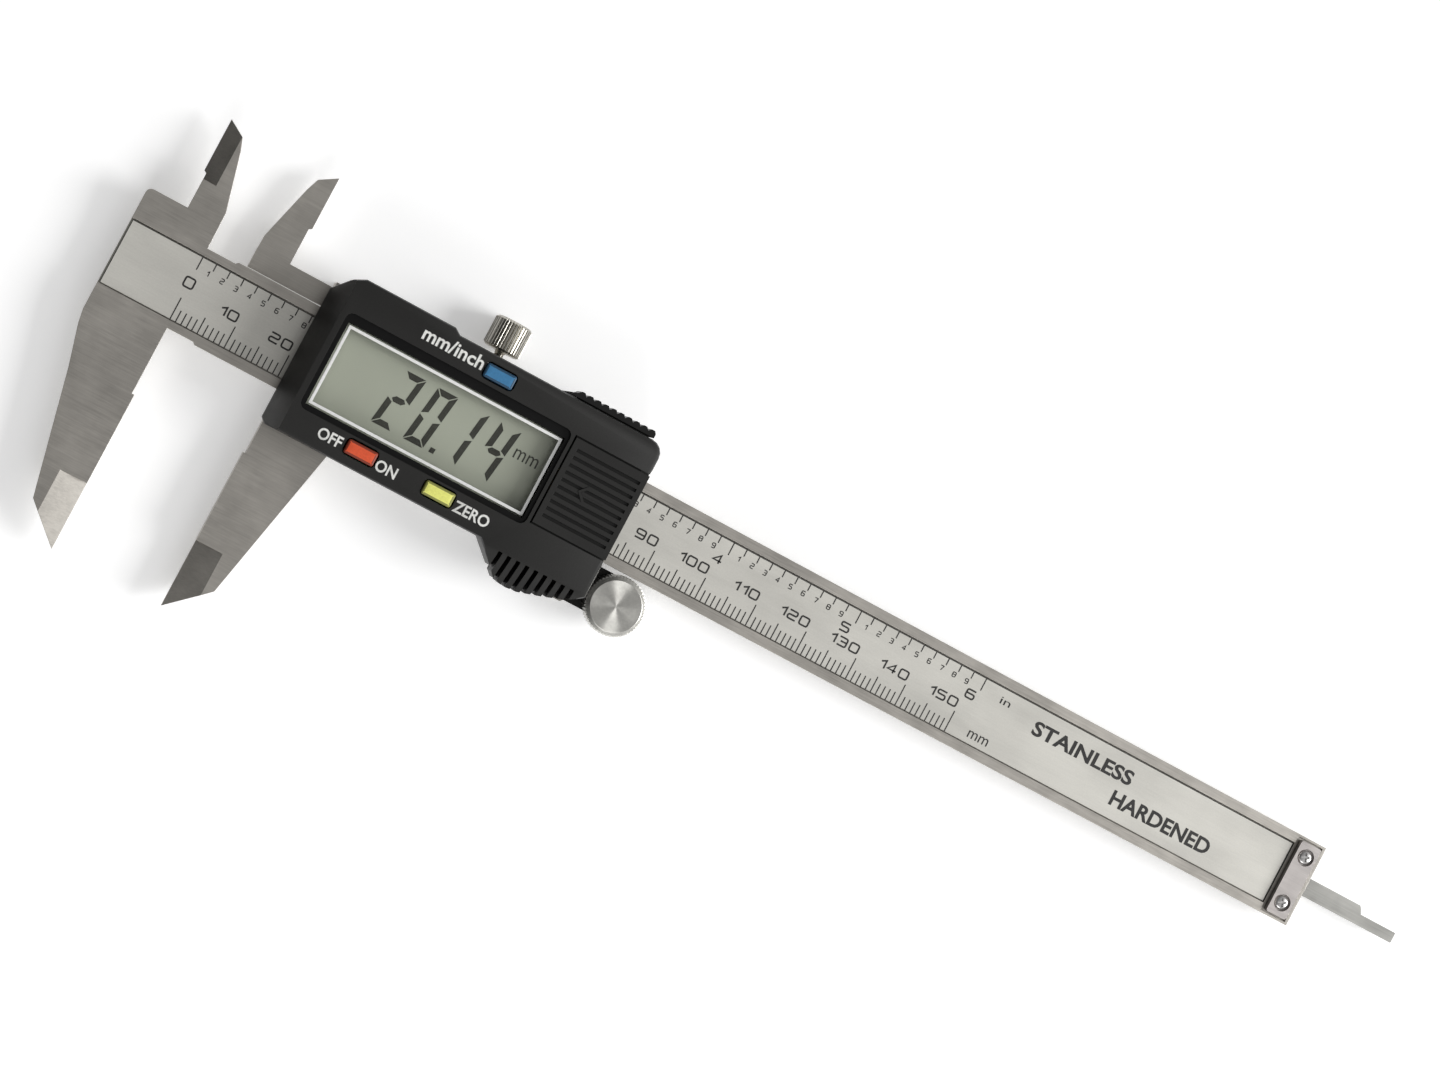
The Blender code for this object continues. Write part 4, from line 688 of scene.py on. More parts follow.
DIGIT_LINES = {
    "0": [[(0, 0), (1, 0), (1, 1), (0, 1), (0, 0)]],
    "1": [[(0.1, 0.72), (0.62, 1), (0.62, 0)]],
    "2": [[(0, 1), (1, 1), (1, 0.5), (0, 0.5), (0, 0), (1, 0)]],
    "3": [[(0, 1), (1, 1), (1, 0), (0, 0)], [(0.25, 0.52), (0.95, 0.52)]],
    "4": [[(0.75, 0), (0.75, 1), (0, 0.3), (1, 0.3)]],
    "5": [[(1, 1), (0, 1), (0, 0.55), (1, 0.55), (1, 0), (0, 0)]],
    "6": [[(1, 1), (0, 1), (0, 0), (1, 0), (1, 0.55), (0.05, 0.55)]],
    "7": [[(0, 1), (1, 1), (0.45, 0)]],
    "8": [[(0, 0), (1, 0), (1, 1), (0, 1), (0, 0)], [(0.05, 0.53), (0.95, 0.53)]],
    "9": [[(0, 0), (1, 0), (1, 1), (0, 1), (0, 0.45), (0.95, 0.45)]],
}
# Words and their boxes in millimetres: left, right, bottom, top.
SCALE_WORDS = (  # from the zero mark and the label's lower edge
    ("mm", 154.0, 158.0, 1.0, 2.3, 0.0),
    ("in", 156.4, 158.4, 8.85, 10.1, 0.0),
    ("STAINLESS", 164.0, 184.5, 6.65, 9.35, 0.028),
    ("HARDENED", 182.5, 203.0, 2.25, 5.05, 0.028),
)
KEY_WORDS = (  # from the middle of a key
    ("OFF", "key_off_on", -7.75, -3.45, -1.15, 0.85),
    ("ON", "key_off_on", 3.05, 6.85, -1.45, 0.55),
    ("ZERO", "key_zero", 3.2, 9.7, -1.45, 0.6),
)
UNIT_WORD = ("mm/inch", 16.45, 27.65, -4.35, -1.95)  # from the housing's upper left corner
DISPLAY_WORD = ("mm", 34.5, 38.9, 8.25, 9.9)  # from the glass's lower left corner
LIT_SEGMENTS = {
    "0": "abcdef", "1": "bc", "2": "abged", "3": "abgcd", "4": "fgbc",
    "5": "afgcd", "6": "afgedc", "7": "abc", "8": "abcdefg", "9": "abcdfg",
}


def number_width(text, digit, gap):
    """Width of a number. A one is narrower than the other digits."""
    return sum(digit * (ONE_WIDTH if d == "1" else 1.0) for d in text) + gap * (len(text) - 1)


def add_number(build, text, left, bottom, digit, height, gap, stroke, level):
    """Adds a number in square digits with rounded corners."""
    for d in text:
        across = digit - stroke
        for line in DIGIT_LINES[d]:
            points = [
                (left + stroke / 2 + x * across, bottom + stroke / 2 + y * (height - stroke))
                for x, y in line
            ]
            line = [Vector(p) for p in points] if d in "147" else rounded(points, height * 0.2)
            add_stroke(build, line, stroke, level)
        left += number_width(d, digit, gap) + gap


def segment_outlines(width, height, bar, gap):
    """Outlines of the seven segments of an upright digit, with mitred ends."""
    middle, half, w, h = height / 2, bar / 2, width, height
    top = [(gap, h), (w - gap, h), (w - bar - gap, h - bar), (bar + gap, h - bar)]
    upper = [(w, h - gap), (w - bar, h - bar - gap), (w - bar, middle + half + gap), (w, middle + gap)]
    bridge = [
        (half + gap, middle), (bar + gap, middle + half), (w - bar - gap, middle + half),
        (w - half - gap, middle), (w - bar - gap, middle - half), (bar + gap, middle - half),
    ]
    return {
        "a": top,
        "b": upper,
        "c": [(x, h - y) for x, y in upper],
        "d": [(x, h - y) for x, y in top],
        "e": [(w - x, h - y) for x, y in upper],
        "f": [(w - x, y) for x, y in upper],
        "g": bridge,
    }


# Operators


class CALIPER_OT_stage(bpy.types.Operator):
    """Sets up the floor, the room, the lights and the camera"""

    bl_idname = "caliper.stage"
    bl_label = "Stage"

    def execute(self, context):
        stage = context.scene.caliper_stage
        build = bmesh.new()
        bmesh.ops.create_grid(build, x_segments=8, y_segments=8, size=stage.floor_size / 2)
        floor = bpy.data.objects.new("floor", finished_mesh(build, "floor"))
        paper, tree, shader = start_finish(
            "floor_paper", 0.0, 0.9, Emission_Color=(1.0, 1.0, 1.0, 1.0), Emission_Strength=0.32
        )
        fibres = add_noise(tree, (0.03, 0.03, 0.03), 3.0)
        tint(tree, shader, fibres, (0.93, 0.93, 0.93), (0.95, 0.95, 0.95))
        floor.data.materials.append(paper)
        context.scene.collection.objects.link(floor)
        self.light_room(context.scene, stage)
        self.add_light(context.scene, "key_light", (1.6, 0.3, 0.9), 0.9, stage.key_power)
        self.add_light(context.scene, "fill_light", (0.3, -1.3, 0.9), 0.9, stage.fill_power)
        lens = bpy.data.cameras.new("camera")
        lens.lens = stage.lens
        lens.sensor_width = 36.0
        lens.clip_start = 0.01
        lens.clip_end = 20.0
        camera = bpy.data.objects.new("camera", lens)
        camera.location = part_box("scale_label")[0] + Vector(stage.camera_place)
        camera.rotation_euler = stage.camera_turn
        context.scene.collection.objects.link(camera)
        context.scene.camera = camera
        context.scene.view_settings.view_transform = "Standard"
        return {"FINISHED"}

    def light_room(self, scene, stage):
        """A pale room, brighter on the side of the depth rod's tip."""
        room = scene.world or bpy.data.worlds.new("room")
        scene.world = room
        room.use_nodes = True
        tree = room.node_tree
        background = tree.nodes["Background"]
        place = add_node(tree, "ShaderNodeTexCoord")
        sides = add_node(tree, "ShaderNodeSeparateXYZ")
        shift = add_node(
            tree, "ShaderNodeMapRange", {"From Min": -1.0, "From Max": 1.0, "To Min": 0.0, "To Max": 1.0}
        )
        walls = add_node(tree, "ShaderNodeValToRGB")
        walls.color_ramp.elements[0].position = 0.08
        walls.color_ramp.elements[0].color = (0.03, 0.03, 0.03, 1.0)
        walls.color_ramp.elements[1].color = (0.88, 0.88, 0.88, 1.0)
        tree.links.new(place.outputs["Generated"], sides.inputs["Vector"])
        tree.links.new(sides.outputs["X"], shift.inputs["Value"])
        tree.links.new(shift.outputs["Result"], walls.inputs["Fac"])
        tree.links.new(walls.outputs["Color"], background.inputs["Color"])
        background.inputs["Strength"].default_value = stage.sky

    def add_light(self, scene, name, place, size, power):
        """A large soft light that faces the caliper."""
        lamp = bpy.data.lights.new(name, "AREA")
        lamp.shape = "SQUARE"
        lamp.size = size
        lamp.energy = power
        light = bpy.data.objects.new(name, lamp)
        light.location = place
        light.rotation_euler = (-Vector(place)).to_track_quat("-Z", "Y").to_euler()
        scene.collection.objects.link(light)


class CALIPER_OT_beam(bpy.types.Operator):
    """Finishes the beam with its jaws, the depth rod and the plate at the beam's end"""

    bl_idname = "caliper.beam"
    bl_label = "Beam and rod"

    def execute(self, context):
        tints, edges = context.scene.caliper_colours, context.scene.caliper_edges
        satin = satin_steel(tints)
        rod = ground_steel("rod_steel", tints.rod, 0.34, (6 * MM, 0.1 * MM, 0.1 * MM))
        stop = ground_steel("stop_steel", tints.stop, 0.42, (3 * MM, 0.1 * MM, 0.1 * MM))
        softened("beam", edges.steel, [satin], "satin_steel", crisp=3)
        softened("depth_rod", edges.steel, [rod], "rod_steel")
        softened("depth_rod_pin", edges.small, [rod], "rod_steel")
        softened("end_stop_plate", edges.steel, [stop], "stop_steel")
        softened("scale_board", edges.small, [board_green()], "board_green")
        return {"FINISHED"}


class CALIPER_OT_scale(bpy.types.Operator):
    """Prints the millimetre and inch scales, their numbers and the words on the label"""

    bl_idname = "caliper.scale"
    bl_label = "Printed scale"

    def execute(self, context):
        tints, scale = context.scene.caliper_colours, context.scene.caliper_scale
        softened("scale_label", LABEL_EDGE, [speckled_label("label_foil", tints.label)], "scale_print")
        low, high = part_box("scale_label")
        ink = printed_ink("scale_ink", tints.ink, 0.5)
        marks = bmesh.new()
        self.add_marks(marks, scale, low, high)
        self.add_borders(marks, low, high)
        add_piece("scale_marks", finished_mesh(marks, "scale_marks"), "beam", "scale_print", [ink])
        numbers = bmesh.new()
        self.add_numbers(numbers, scale, low, high)
        add_piece("scale_numbers", finished_mesh(numbers, "scale_numbers"), "beam", "scale_print", [ink])
        words = bmesh.new()
        for text, *sides, weight in SCALE_WORDS:
            add_word(words, text, *word_box(low.x + scale.zero, low.y, sides), high.z, weight)
        add_piece("scale_words", finished_mesh(words, "scale_words"), "beam", "scale_print", [ink])
        return {"FINISHED"}

    def add_marks(self, build, scale, low, high):
        """Millimetre marks on the lower edge and tenths of an inch on the upper edge."""
        zero, level = low.x + scale.zero, high.z
        for i in range(151):
            reach = scale.middle_mark if i % 5 == 0 else scale.short_mark
            if i % 10 == 0:
                reach = scale.long_mark
            x = zero + i * MM
            add_bar(build, (x, low.y), (x, low.y + reach), scale.mark_width, level)
        for i in range(61):
            reach = scale.inch_mark if i % 10 == 0 else scale.tenth_mark
            x = zero + i * TENTH_INCH
            add_bar(build, (x, high.y), (x, high.y - reach), scale.mark_width, level)

    def add_borders(self, build, low, high):
        """Thin dark lines along the label's upper edge and its ends."""
        inset = 0.06 * MM
        for start, end in (
            ((low.x, high.y - inset), (high.x, high.y - inset)),
            ((low.x + inset, low.y), (low.x + inset, high.y - 2 * inset)),
            ((high.x - inset, low.y), (high.x - inset, high.y - 2 * inset)),
        ):
            add_bar(build, start, end, 2 * inset, high.z, PRINT_THICKNESS / 2)

    def add_numbers(self, build, scale, low, high):
        """Numbers at the tens of millimetres, at the inches and at the tenths of an inch."""
        zero, level = low.x + scale.zero, high.z
        digit, gap, stroke = scale.number_width, scale.number_gap, scale.stroke
        places = [(i * MM - 0.2 * MM, str(i), scale.number_rise) for i in range(10, 151, 10)]
        places += [(i * 10 * TENTH_INCH - 0.35 * MM, str(i), scale.inch_rise) for i in range(1, 7)]
        for right, text, rise in places:
            left = zero + right - number_width(text, digit, gap)
            tall = scale.number_height
            add_number(build, text, left, low.y + rise, digit, tall, gap, stroke, level)
        left, bottom = zero - 1.0 * MM, low.y + scale.number_rise + 1.3 * MM
        add_number(build, "0", left, bottom, 2.0 * MM, 2.0 * MM, gap, stroke, level)
        small, tall = scale.small_height * 0.75, scale.small_height
        for i in range(1, 61):
            if i % 10:
                left, bottom = zero + i * TENTH_INCH - small - 0.1 * MM, low.y + scale.small_rise
                add_number(build, str(i % 10), left, bottom, small, tall, gap, stroke * 0.55, level)


class CALIPER_OT_slider(bpy.types.Operator):
    """Finishes the slider's steel frame, its strip, the roller's arm and the label on its back"""

    bl_idname = "caliper.slider"
    bl_label = "Slider frame"

    def execute(self, context):
        tints, edges = context.scene.caliper_colours, context.scene.caliper_edges
        satin = satin_steel(tints)
        bright = bright_steel(tints)
        black = ground_steel("black_steel", (0.035, 0.034, 0.033), 0.42, (1.5 * MM, 0.3 * MM, 0.3 * MM))
        softened("slider_frame", edges.steel, [satin], "satin_steel", crisp=3)
        softened("roller_bracket", edges.small, [black], "black_steel")
        for node in ("gib_strip", "lock_pad", "roller_axle", "bracket_rivet"):
            softened(node, edges.small, [bright], "bright_steel")
        back = speckled_label("back_label_foil", (0.55, 0.55, 0.55))
        softened("back_label", LABEL_EDGE, [back], "label_grey")
        return {"FINISHED"}


class CALIPER_OT_housing(bpy.types.Operator):
    """Finishes the moulded housing and prints the words beside its keys"""

    bl_idname = "caliper.housing"
    bl_label = "Housing"

    def execute(self, context):
        tints, edges = context.scene.caliper_colours, context.scene.caliper_edges
        details = context.scene.caliper_details
        rim = moulded_plastic(
            "rim_plastic", tints.rim, 0.3, 0.8 * MM, 0.002 * MM, Specular_IOR_Level=0.25
        )
        finishes = [housing_plastic(tints), groove_plastic(tints), rim]
        low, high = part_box("housing")
        window_low, window_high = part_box("display_window")
        reach = details.recess_reach

        def choose(middle, normal):
            in_recess = (
                window_low.x - reach < middle.x < window_high.x + reach
                and window_low.y - reach < middle.y < window_high.y + reach
                and high.z - 2.5 * MM < middle.z < high.z - 0.2 * MM
            )
            # Faces turned away from the front take the darker plastic: painted shade on side walls and in
            # grooves.
            return 2 if in_recess else 1 if normal.z < 0.6 else 0

        cutters = self.grip_grooves(low, high, details)
        softened("housing", edges.plastic, finishes, "black_plastic", choose, cutters)
        white = printed_ink("housing_lettering", tints.lettering, 0.45)
        words = bmesh.new()
        text, *sides = UNIT_WORD
        add_word(words, text, *word_box(low.x, high.y, sides), high.z, 0.022)
        for text, node, *sides in KEY_WORDS:
            middle = sum(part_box(node), Vector()) / 2
            add_word(words, text, *word_box(middle.x, middle.y, sides), high.z, 0.022)
        mesh = finished_mesh(words, "housing_words")
        add_piece("housing_words", mesh, "slider", "white_plastic", [white])
        return {"FINISHED"}

    def grip_grooves(self, low, high, details):
        """The solids that slope the grip's front and cut its grooves."""
        build = bmesh.new()
        top, foot = low.y + details.grip_drop, low.y - 1 * MM
        right, left = high.x + 1 * MM, high.x - details.grip_length - 1 * MM
        fall = details.grip_slope * (top - foot) / details.grip_drop
        slope = [(top, high.z), (foot, high.z - fall), (foot, high.z + 1 * MM), (top, high.z + 1 * MM)]
        ends = [[build.verts.new((x, y, z)) for y, z in slope] for x in (left, right)]
        build.faces.new(ends[0])
        build.faces.new(ends[1][::-1])
        for i in range(4):
            k = (i + 1) % 4
            build.faces.new((ends[0][i], ends[1][i], ends[1][k], ends[0][k]))
        wedge = finished_mesh(build, "grip_slope")
        grooves = bmesh.new()
        half = details.grip_groove / 2
        for i in range(details.grip_grooves):
            x = high.x - details.grip_inset - i * details.grip_pitch
            left, right, end = x - half, x + half, top - 0.5 * MM
            outline = [(left, foot), (right, foot), (right, end), (left, end)]
            add_plate(grooves, outline, low.z + details.groove_floor, high.z + 1 * MM - low.z)
        return [wedge, finished_mesh(grooves, "grip_grooves")]


class CALIPER_OT_display(bpy.types.Operator):
    """Builds the digits of the display and finishes its glass, window and frame"""

    bl_idname = "caliper.display"
    bl_label = "Display"

    def execute(self, context):
        tints, shown = context.scene.caliper_colours, context.scene.caliper_display
        edges = context.scene.caliper_edges
        low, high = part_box("display_glass")
        size = high - low
        # The screen gets painted shade towards its edges, fading in over that reach from its middle.
        screen = screen_glass("display_screen", tints.screen, (low + high) / 2, size * 0.72)
        softened("display_glass", edges.small, [screen], "display_grey")
        white = moulded_plastic("frame_white", tints.frame, 0.35, 0.5 * MM, 0.002 * MM)
        softened("display_frame", edges.small, [white], "frame_white")
        softened("display_window", edges.small, [clear_plastic("clear_window")], "clear_window")
        softened("display_carrier", edges.small, [housing_plastic(tints)], "black_plastic")
        for strip in ("contact_strip_lower", "contact_strip_upper"):
            softened(strip, edges.small, [black_rubber()], "black_rubber")
        digits = bmesh.new()
        outlines = segment_outlines(shown.width, shown.height, shown.segment, shown.gap)
        left, bottom = low.x + shown.left, low.y + shown.bottom
        for mark in shown.reading:
            if mark == ".":
                x, side = left - shown.pitch + shown.width + 1.05 * MM, shown.segment * 0.85
                dot = [(x, bottom), (x + side, bottom), (x + side + 0.1 * MM, bottom + side)]
                add_plate(digits, [*dot, (x + 0.1 * MM, bottom + side)], high.z)
                continue
            for segment in LIT_SEGMENTS[mark]:
                outline = [
                    (left + x + shown.slant * y / shown.height, bottom + y) for x, y in outlines[segment]
                ]
                add_plate(digits, outline, high.z)
            left += shown.pitch
        text, *sides = DISPLAY_WORD
        add_word(digits, text, *word_box(low.x, low.y, sides), high.z)
        ink = printed_ink("display_segment", tints.segment, 0.4)
        mesh = finished_mesh(digits, "display_digits")
        add_piece("display_digits", mesh, "slider", "display_grey", [ink])
        return {"FINISHED"}


class CALIPER_OT_keys(bpy.types.Operator):
    """Builds the three crowned keys, with painted shade darkening their rims"""

    bl_idname = "caliper.keys"
    bl_label = "Keys"

    def execute(self, context):
        tints, details = context.scene.caliper_colours, context.scene.caliper_details
        for node, slot, tinted in (
            ("key_mm_inch", "key_blue", tints.blue_key),
            ("key_off_on", "key_red", tints.red_key),
            ("key_zero", "key_yellow", tints.yellow_key),
        ):
            cap = moulded_plastic(slot, tinted, 0.42, 0.3 * MM, 0.004 * MM)
            # Painted shade: the rim's finish is the cap's colour darkened to three tenths.
            rim = moulded_plastic(slot + "_rim", [c * 0.3 for c in tinted], 0.5, 0.3 * MM, 0.004 * MM)
            mesh = self.key_mesh(node, details)
            add_piece(node + "_cap", mesh, node, slot, [cap, rim], [node])
        for node in ("switch_mm_inch", "switch_off_on", "switch_zero"):
            softened(node, context.scene.caliper_edges.small, [black_rubber()], "black_rubber")
        return {"FINISHED"}

    def key_mesh(self, node, details):
        """A crowned cap on its flange, with painted shade darkening its rim."""
        low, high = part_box(node)
        middle, half = (low + high) / 2, (high - low) / 2
        cap_x, cap_y = half.x - details.key_flange, half.y
        flange_top = low.z + details.flange_thickness
        rows = [
            (half.x, half.y, 0.35 * MM, low.z),
            (half.x, half.y, 0.35 * MM, flange_top),
            (cap_x, cap_y, 0.35 * MM, flange_top),
            (cap_x, cap_y, 0.35 * MM, high.z - 0.34 * MM),
        ]
        crown = ((0.03, 0.22), (0.10, 0.14), (0.24, 0.09), (0.40, 0.06), (0.65, 0.03), (0.95, 0.0))
        for inset, drop in crown:
            rows.append((cap_x - inset * MM, cap_y - inset * MM, 0.35 * MM, high.z - drop * MM))
        rings = [self.rounded_ring(middle, *row) for row in rows]
        build = bmesh.new()
        for face in add_rings(build, rings):
            out_from_middle = face.calc_center_median() - middle
            # Faces near the cap's edge take the darker finish: painted shade on the rim.
            painted_shade_rim = max(abs(out_from_middle.x) - cap_x, abs(out_from_middle.y) - cap_y) > -0.36 * MM
            face.material_index = 1 if painted_shade_rim else 0
        return finished_mesh(build, node + "_cap", math.radians(40))

    def rounded_ring(self, middle, half_x, half_y, radius, level):
        """Points round a rectangle with rounded corners at that level."""
        radius = min(radius, half_y * 0.98)
        ring = []
        for corner, (sx, sy) in enumerate(((1, 1), (-1, 1), (-1, -1), (1, -1))):
            x, y = middle.x + sx * (half_x - radius), middle.y + sy * (half_y - radius)
            for step in range(7):
                turn = math.radians(90 * corner + 15 * step)
                ring.append(Vector((x + radius * math.cos(turn), y + radius * math.sin(turn), level)))
        return ring


class CALIPER_OT_covers(bpy.types.Operator):
    """Finishes the battery cover with its moulded marks, and the data port's cover"""

    bl_idname = "caliper.covers"
    bl_label = "Covers"

    def execute(self, context):
        tints, edges = context.scene.caliper_colours, context.scene.caliper_edges
        details = context.scene.caliper_details
        cover, groove = housing_plastic(tints), groove_plastic(tints)
        low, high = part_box("battery_cover")

        def choose(middle, normal):
            # Faces below the cover's front take the darker plastic: painted shade in its grooves.
            return 1 if middle.z < high.z - 0.15 * MM else 0

        softened("battery_cover", edges.small, [cover, groove], "black_plastic", choose)
        # The data port's cover is all in the darker plastic, whose darkness is painted shade.
        softened("data_port_cover", LABEL_EDGE, [groove], "black_plastic")
        x, y = (low.x + high.x) / 2, (low.y + high.y) / 2
        symbol = bmesh.new()
        size = (details.symbol_stroke, high.z - 0.02 * MM, details.symbol_rise)
        head = ((-1.1, 1.5), (-2.3, 0.2), (-1.1, -1.1))
        add_stroke(symbol, [Vector((x + dx * MM, y + dy * MM)) for dx, dy in head], *size)
        add_bar(symbol, (x - 1.9 * MM, y + 0.2 * MM), (x + 2.3 * MM, y + 0.2 * MM), *size)
        mesh = finished_mesh(symbol, "battery_cover_symbol")
        add_piece("battery_cover_symbol", mesh, "battery_cover", "black_plastic", [cover])
        return {"FINISHED"}


class CALIPER_OT_lock_screw(bpy.types.Operator):
    """Builds the lock screw with its knurled knob and its thread"""

    bl_idname = "caliper.lock_screw"
    bl_label = "Lock screw"

    def execute(self, context):
        tints, details = context.scene.caliper_colours, context.scene.caliper_details
        low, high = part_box("lock_screw")
        x, z, radius = (low.x + high.x) / 2, (low.z + high.z) / 2, (high.z - low.z) / 2
        head, shank = high.y - details.knob_length, details.screw_radius
        full = knurled_radius(radius, details.knob_depth, details.knob_teeth)
        bevelled = knurled_radius(radius - 0.16 * MM, details.knob_depth * 0.4, details.knob_teeth)
        stations = [(low.y, plain_radius(shank * 0.45)), (low.y + 0.2 * MM, plain_radius(shank * 0.8))]
        for step in range(1, int((head - low.y - 0.5 * MM) / (details.thread_pitch / 6))):
            along = low.y + 0.2 * MM + step * details.thread_pitch / 6
            stations.append((along, self.thread_radius(along, shank, details)))
        stations += [
            (head - 0.25 * MM, plain_radius(shank)),
            (head, plain_radius(shank * 1.25)),
            (head, plain_radius(radius * 0.78)),
            (head + 0.06 * MM, plain_radius(radius * 0.86)),
            (head + 0.30 * MM, bevelled),
            (head + 0.42 * MM, full),
            (high.y - 0.45 * MM, full),
            (high.y - 0.32 * MM, bevelled),
            (high.y - 0.06 * MM, plain_radius(radius * 0.86)),
            (high.y, plain_radius(radius * 0.8)),
            (high.y, plain_radius(radius * 0.34)),
            (high.y - 0.25 * MM, plain_radius(radius * 0.3)),
        ]

        def place(along, r, turn):
            return Vector((x + r * math.sin(turn), along, z + r * math.cos(turn)))

        build = bmesh.new()
        add_rings(build, lathe_rings(stations, details.knob_teeth * 6, place))
        steel = ground_steel("knurled_steel", tints.knob, 0.3, (0.2 * MM, 0.8 * MM, 0.2 * MM))
        mesh = finished_mesh(build, "lock_screw_knurled", math.radians(25))
        add_piece("lock_screw_knurled", mesh, "lock_screw", "knurled_steel", [steel], ["lock_screw"])
        return {"FINISHED"}

    def thread_radius(self, along, radius, details):
        """Radius of a helical thread at that place along the screw."""

        def at(turn):
            phase = (along / details.thread_pitch - turn / (2 * math.pi)) % 1.0
            return radius - details.thread_depth * abs(2 * phase - 1)

        return at


class CALIPER_OT_thumb_roller(bpy.types.Operator):
    """Builds the thumb roller with its knurled rim and turned face"""

    bl_idname = "caliper.thumb_roller"
    bl_label = "Thumb roller"

    def execute(self, context):
        tints, details = context.scene.caliper_colours, context.scene.caliper_details
        low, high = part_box("thumb_roller")
        x, y, radius = (low.x + high.x) / 2, (low.y + high.y) / 2, (high.x - low.x) / 2
        bore, wall = details.roller_bore, details.roller_wall
        full = knurled_radius(radius, details.roller_depth, details.roller_teeth)
        stations = [
            (high.z - wall, plain_radius(0.05 * MM)),
            (high.z - wall, plain_radius(bore)),
            (low.z + 0.1 * MM, plain_radius(bore)),
            (low.z, plain_radius(bore + 0.1 * MM)),
            (low.z, plain_radius(radius - 0.75 * MM)),
            (low.z + 0.45 * MM, plain_radius(radius - 0.3 * MM)),
            (low.z + 0.55 * MM, full),
            (high.z - 0.6 * MM, full),
            (high.z - 0.5 * MM, plain_radius(radius - 0.28 * MM)),
            (high.z - 0.08 * MM, plain_radius(radius - 0.7 * MM)),
            (high.z, plain_radius(radius - 0.85 * MM)),
            (high.z, plain_radius(0.1 * MM)),
        ]

        def place(along, r, turn):
            return Vector((x + r * math.cos(turn), y + r * math.sin(turn), along))

        build = bmesh.new()
        add_rings(build, lathe_rings(stations, details.roller_teeth * 6, place))
        steel = turned_steel("turned_steel", tints.roller, 0.34, 0.92)
        mesh = finished_mesh(build, "thumb_roller_knurled", math.radians(25))
        add_piece("thumb_roller_knurled", mesh, "thumb_roller", "turned_steel", [steel], ["thumb_roller"])
        return {"FINISHED"}


class CALIPER_OT_screws(bpy.types.Operator):
    """Builds the two cross-head screws of the end plate and finishes the small screws"""

    bl_idname = "caliper.screws"
    bl_label = "Screws"

    def execute(self, context):
        tints, edges = context.scene.caliper_colours, context.scene.caliper_edges
        steel = ground_steel("screw_steel", tints.bright, 0.28, (0.4 * MM, 0.4 * MM, 0.4 * MM))
        for node in ("end_stop_screw_lower", "end_stop_screw_upper"):
            self.add_cross_head(node, steel)
        for node in sorted(frame["nodes"]):
            if node.startswith(("housing_screw", "board_screw", "gib_screw")):
                softened(node, edges.small, [steel], "screw_steel")
        return {"FINISHED"}

    def add_cross_head(self, node, steel):
        """A domed head with a cross-shaped recess, on its shank."""
        low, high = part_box(node)
        x, y, radius = (low.x + high.x) / 2, (low.y + high.y) / 2, (high.x - low.x) / 2
        shank = 0.7 * MM
        foot = high.z - 0.75 * MM

        def place(along, r, turn):
            return Vector((x + r * math.cos(turn), y + r * math.sin(turn), along))

        profile = [
            (low.z, shank * 0.8), (low.z + 0.15 * MM, shank), (foot, shank), (foot, radius * 0.94),
            (foot + 0.1 * MM, radius), (high.z - 0.38 * MM, radius), (high.z - 0.2 * MM, radius * 0.9),
            (high.z - 0.08 * MM, radius * 0.7), (high.z, radius * 0.35),
        ]
        head = bmesh.new()
        add_rings(head, lathe_rings([(a, plain_radius(r)) for a, r in profile], 48, place))
        cross = bmesh.new()
        arm, width = radius * 0.66, radius * 0.17
        outline = [
            (arm, width), (width, width), (width, arm), (-width, arm), (-width, width), (-arm, width),
            (-arm, -width), (-width, -width), (-width, -arm), (width, -arm), (width, -width), (arm, -width),
        ]
        turn = math.radians(25)
        turned = [
            (x + a * math.cos(turn) - b * math.sin(turn), y + a * math.sin(turn) + b * math.cos(turn))
            for a, b in outline
        ]
        add_plate(cross, turned, high.z - 0.4 * MM, 1.0 * MM)
        solid = finished_mesh(head, node + "_cross")
        recessed = carved(solid, finished_mesh(cross, "cross_recess"))
        recessed.shade_smooth()
        recessed.set_sharp_from_angle(angle=math.radians(35))
        add_piece(node + "_cross", recessed, "beam", "screw_steel", [steel], [node])


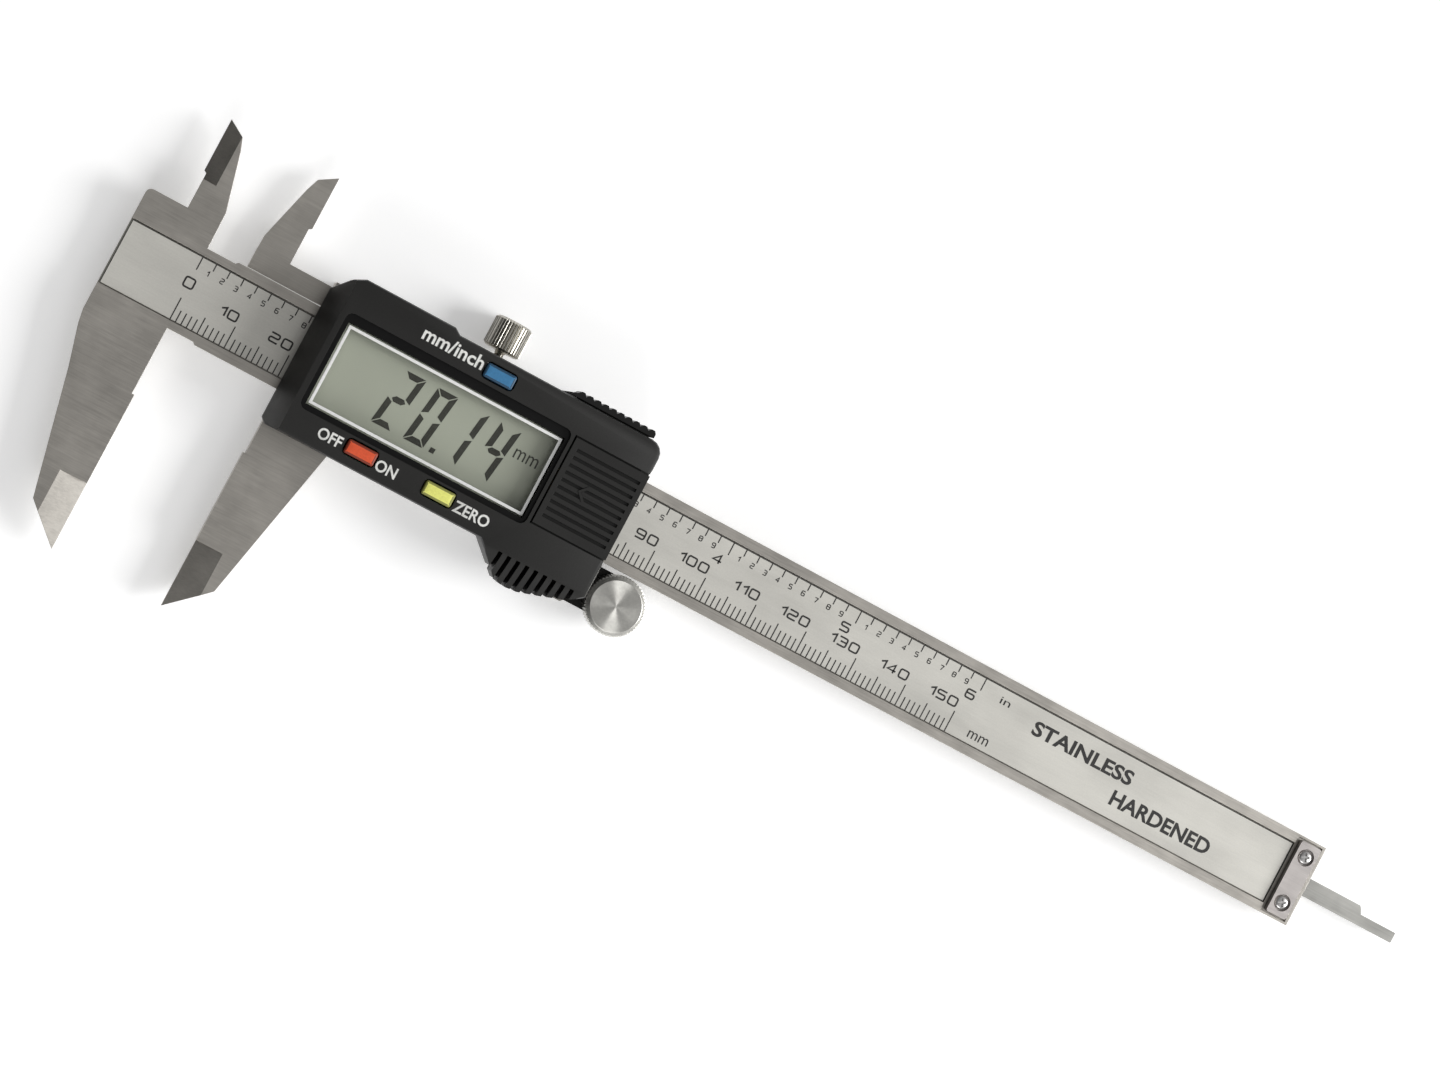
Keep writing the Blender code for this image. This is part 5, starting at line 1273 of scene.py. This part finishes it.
class CALIPER_OT_electronics(bpy.types.Operator):
    """Finishes the circuit board, its parts, the button cell and the contacts"""

    bl_idname = "caliper.electronics"
    bl_label = "Electronics"

    def execute(self, context):
        tints, edges = context.scene.caliper_colours, context.scene.caliper_edges
        cell = ground_steel("cell_steel", tints.bright, 0.3, (0.3 * MM, 0.3 * MM, 2 * MM))
        bright = bright_steel(tints)
        brass = ground_steel("brass", (0.74, 0.55, 0.26), 0.32, (1.0 * MM, 0.2 * MM, 0.2 * MM))
        for node, finish, slot in (
            ("circuit_board", board_green(), "board_green"),
            ("processor_chip", housing_plastic(tints), "black_plastic"),
            ("crystal_can", bright, "bright_steel"),
            ("data_connector", brass, "brass"),
            ("battery", cell, "cell_steel"),
            ("battery_contact_negative", brass, "brass"),
            ("battery_contact_positive", brass, "brass"),
        ):
            softened(node, edges.small, [finish], slot)
        return {"FINISHED"}


class CALIPER_PT_build(bpy.types.Panel):
    """Lists the pieces of the caliper in the sidebar"""

    bl_idname = "CALIPER_PT_build"
    bl_label = "Caliper"
    bl_space_type = "VIEW_3D"
    bl_region_type = "UI"
    bl_category = "Caliper"

    def draw(self, context):
        for operator in OPERATORS:
            self.layout.operator(operator.bl_idname)
        for name, group in SETTINGS.items():
            box = self.layout.box()
            box.label(text=group.__doc__)
            for setting in group.__annotations__:
                box.prop(getattr(context.scene, name), setting)


SETTINGS = {
    "caliper_colours": CaliperColours,
    "caliper_edges": CaliperEdges,
    "caliper_scale": CaliperScale,
    "caliper_display": CaliperDisplay,
    "caliper_details": CaliperDetails,
    "caliper_stage": CaliperStage,
}
OPERATORS = (
    CALIPER_OT_stage,
    CALIPER_OT_beam,
    CALIPER_OT_scale,
    CALIPER_OT_slider,
    CALIPER_OT_housing,
    CALIPER_OT_display,
    CALIPER_OT_keys,
    CALIPER_OT_covers,
    CALIPER_OT_lock_screw,
    CALIPER_OT_thumb_roller,
    CALIPER_OT_screws,
    CALIPER_OT_electronics,
)


def register():
    for made in (*SETTINGS.values(), *OPERATORS, CALIPER_PT_build):
        bpy.utils.register_class(made)
    for name, group in SETTINGS.items():
        setattr(bpy.types.Scene, name, bpy.props.PointerProperty(type=group))


def unregister():
    for name in SETTINGS:
        delattr(bpy.types.Scene, name)
    for made in reversed((*SETTINGS.values(), *OPERATORS, CALIPER_PT_build)):
        bpy.utils.unregister_class(made)


def main():
    """Builds every piece in order."""
    register()
    bpy.ops.caliper.stage()
    bpy.ops.caliper.beam()
    bpy.ops.caliper.scale()
    bpy.ops.caliper.slider()
    bpy.ops.caliper.housing()
    bpy.ops.caliper.display()
    bpy.ops.caliper.keys()
    bpy.ops.caliper.covers()
    bpy.ops.caliper.lock_screw()
    bpy.ops.caliper.thumb_roller()
    bpy.ops.caliper.screws()
    bpy.ops.caliper.electronics()


if __name__ == "__main__":
    main()
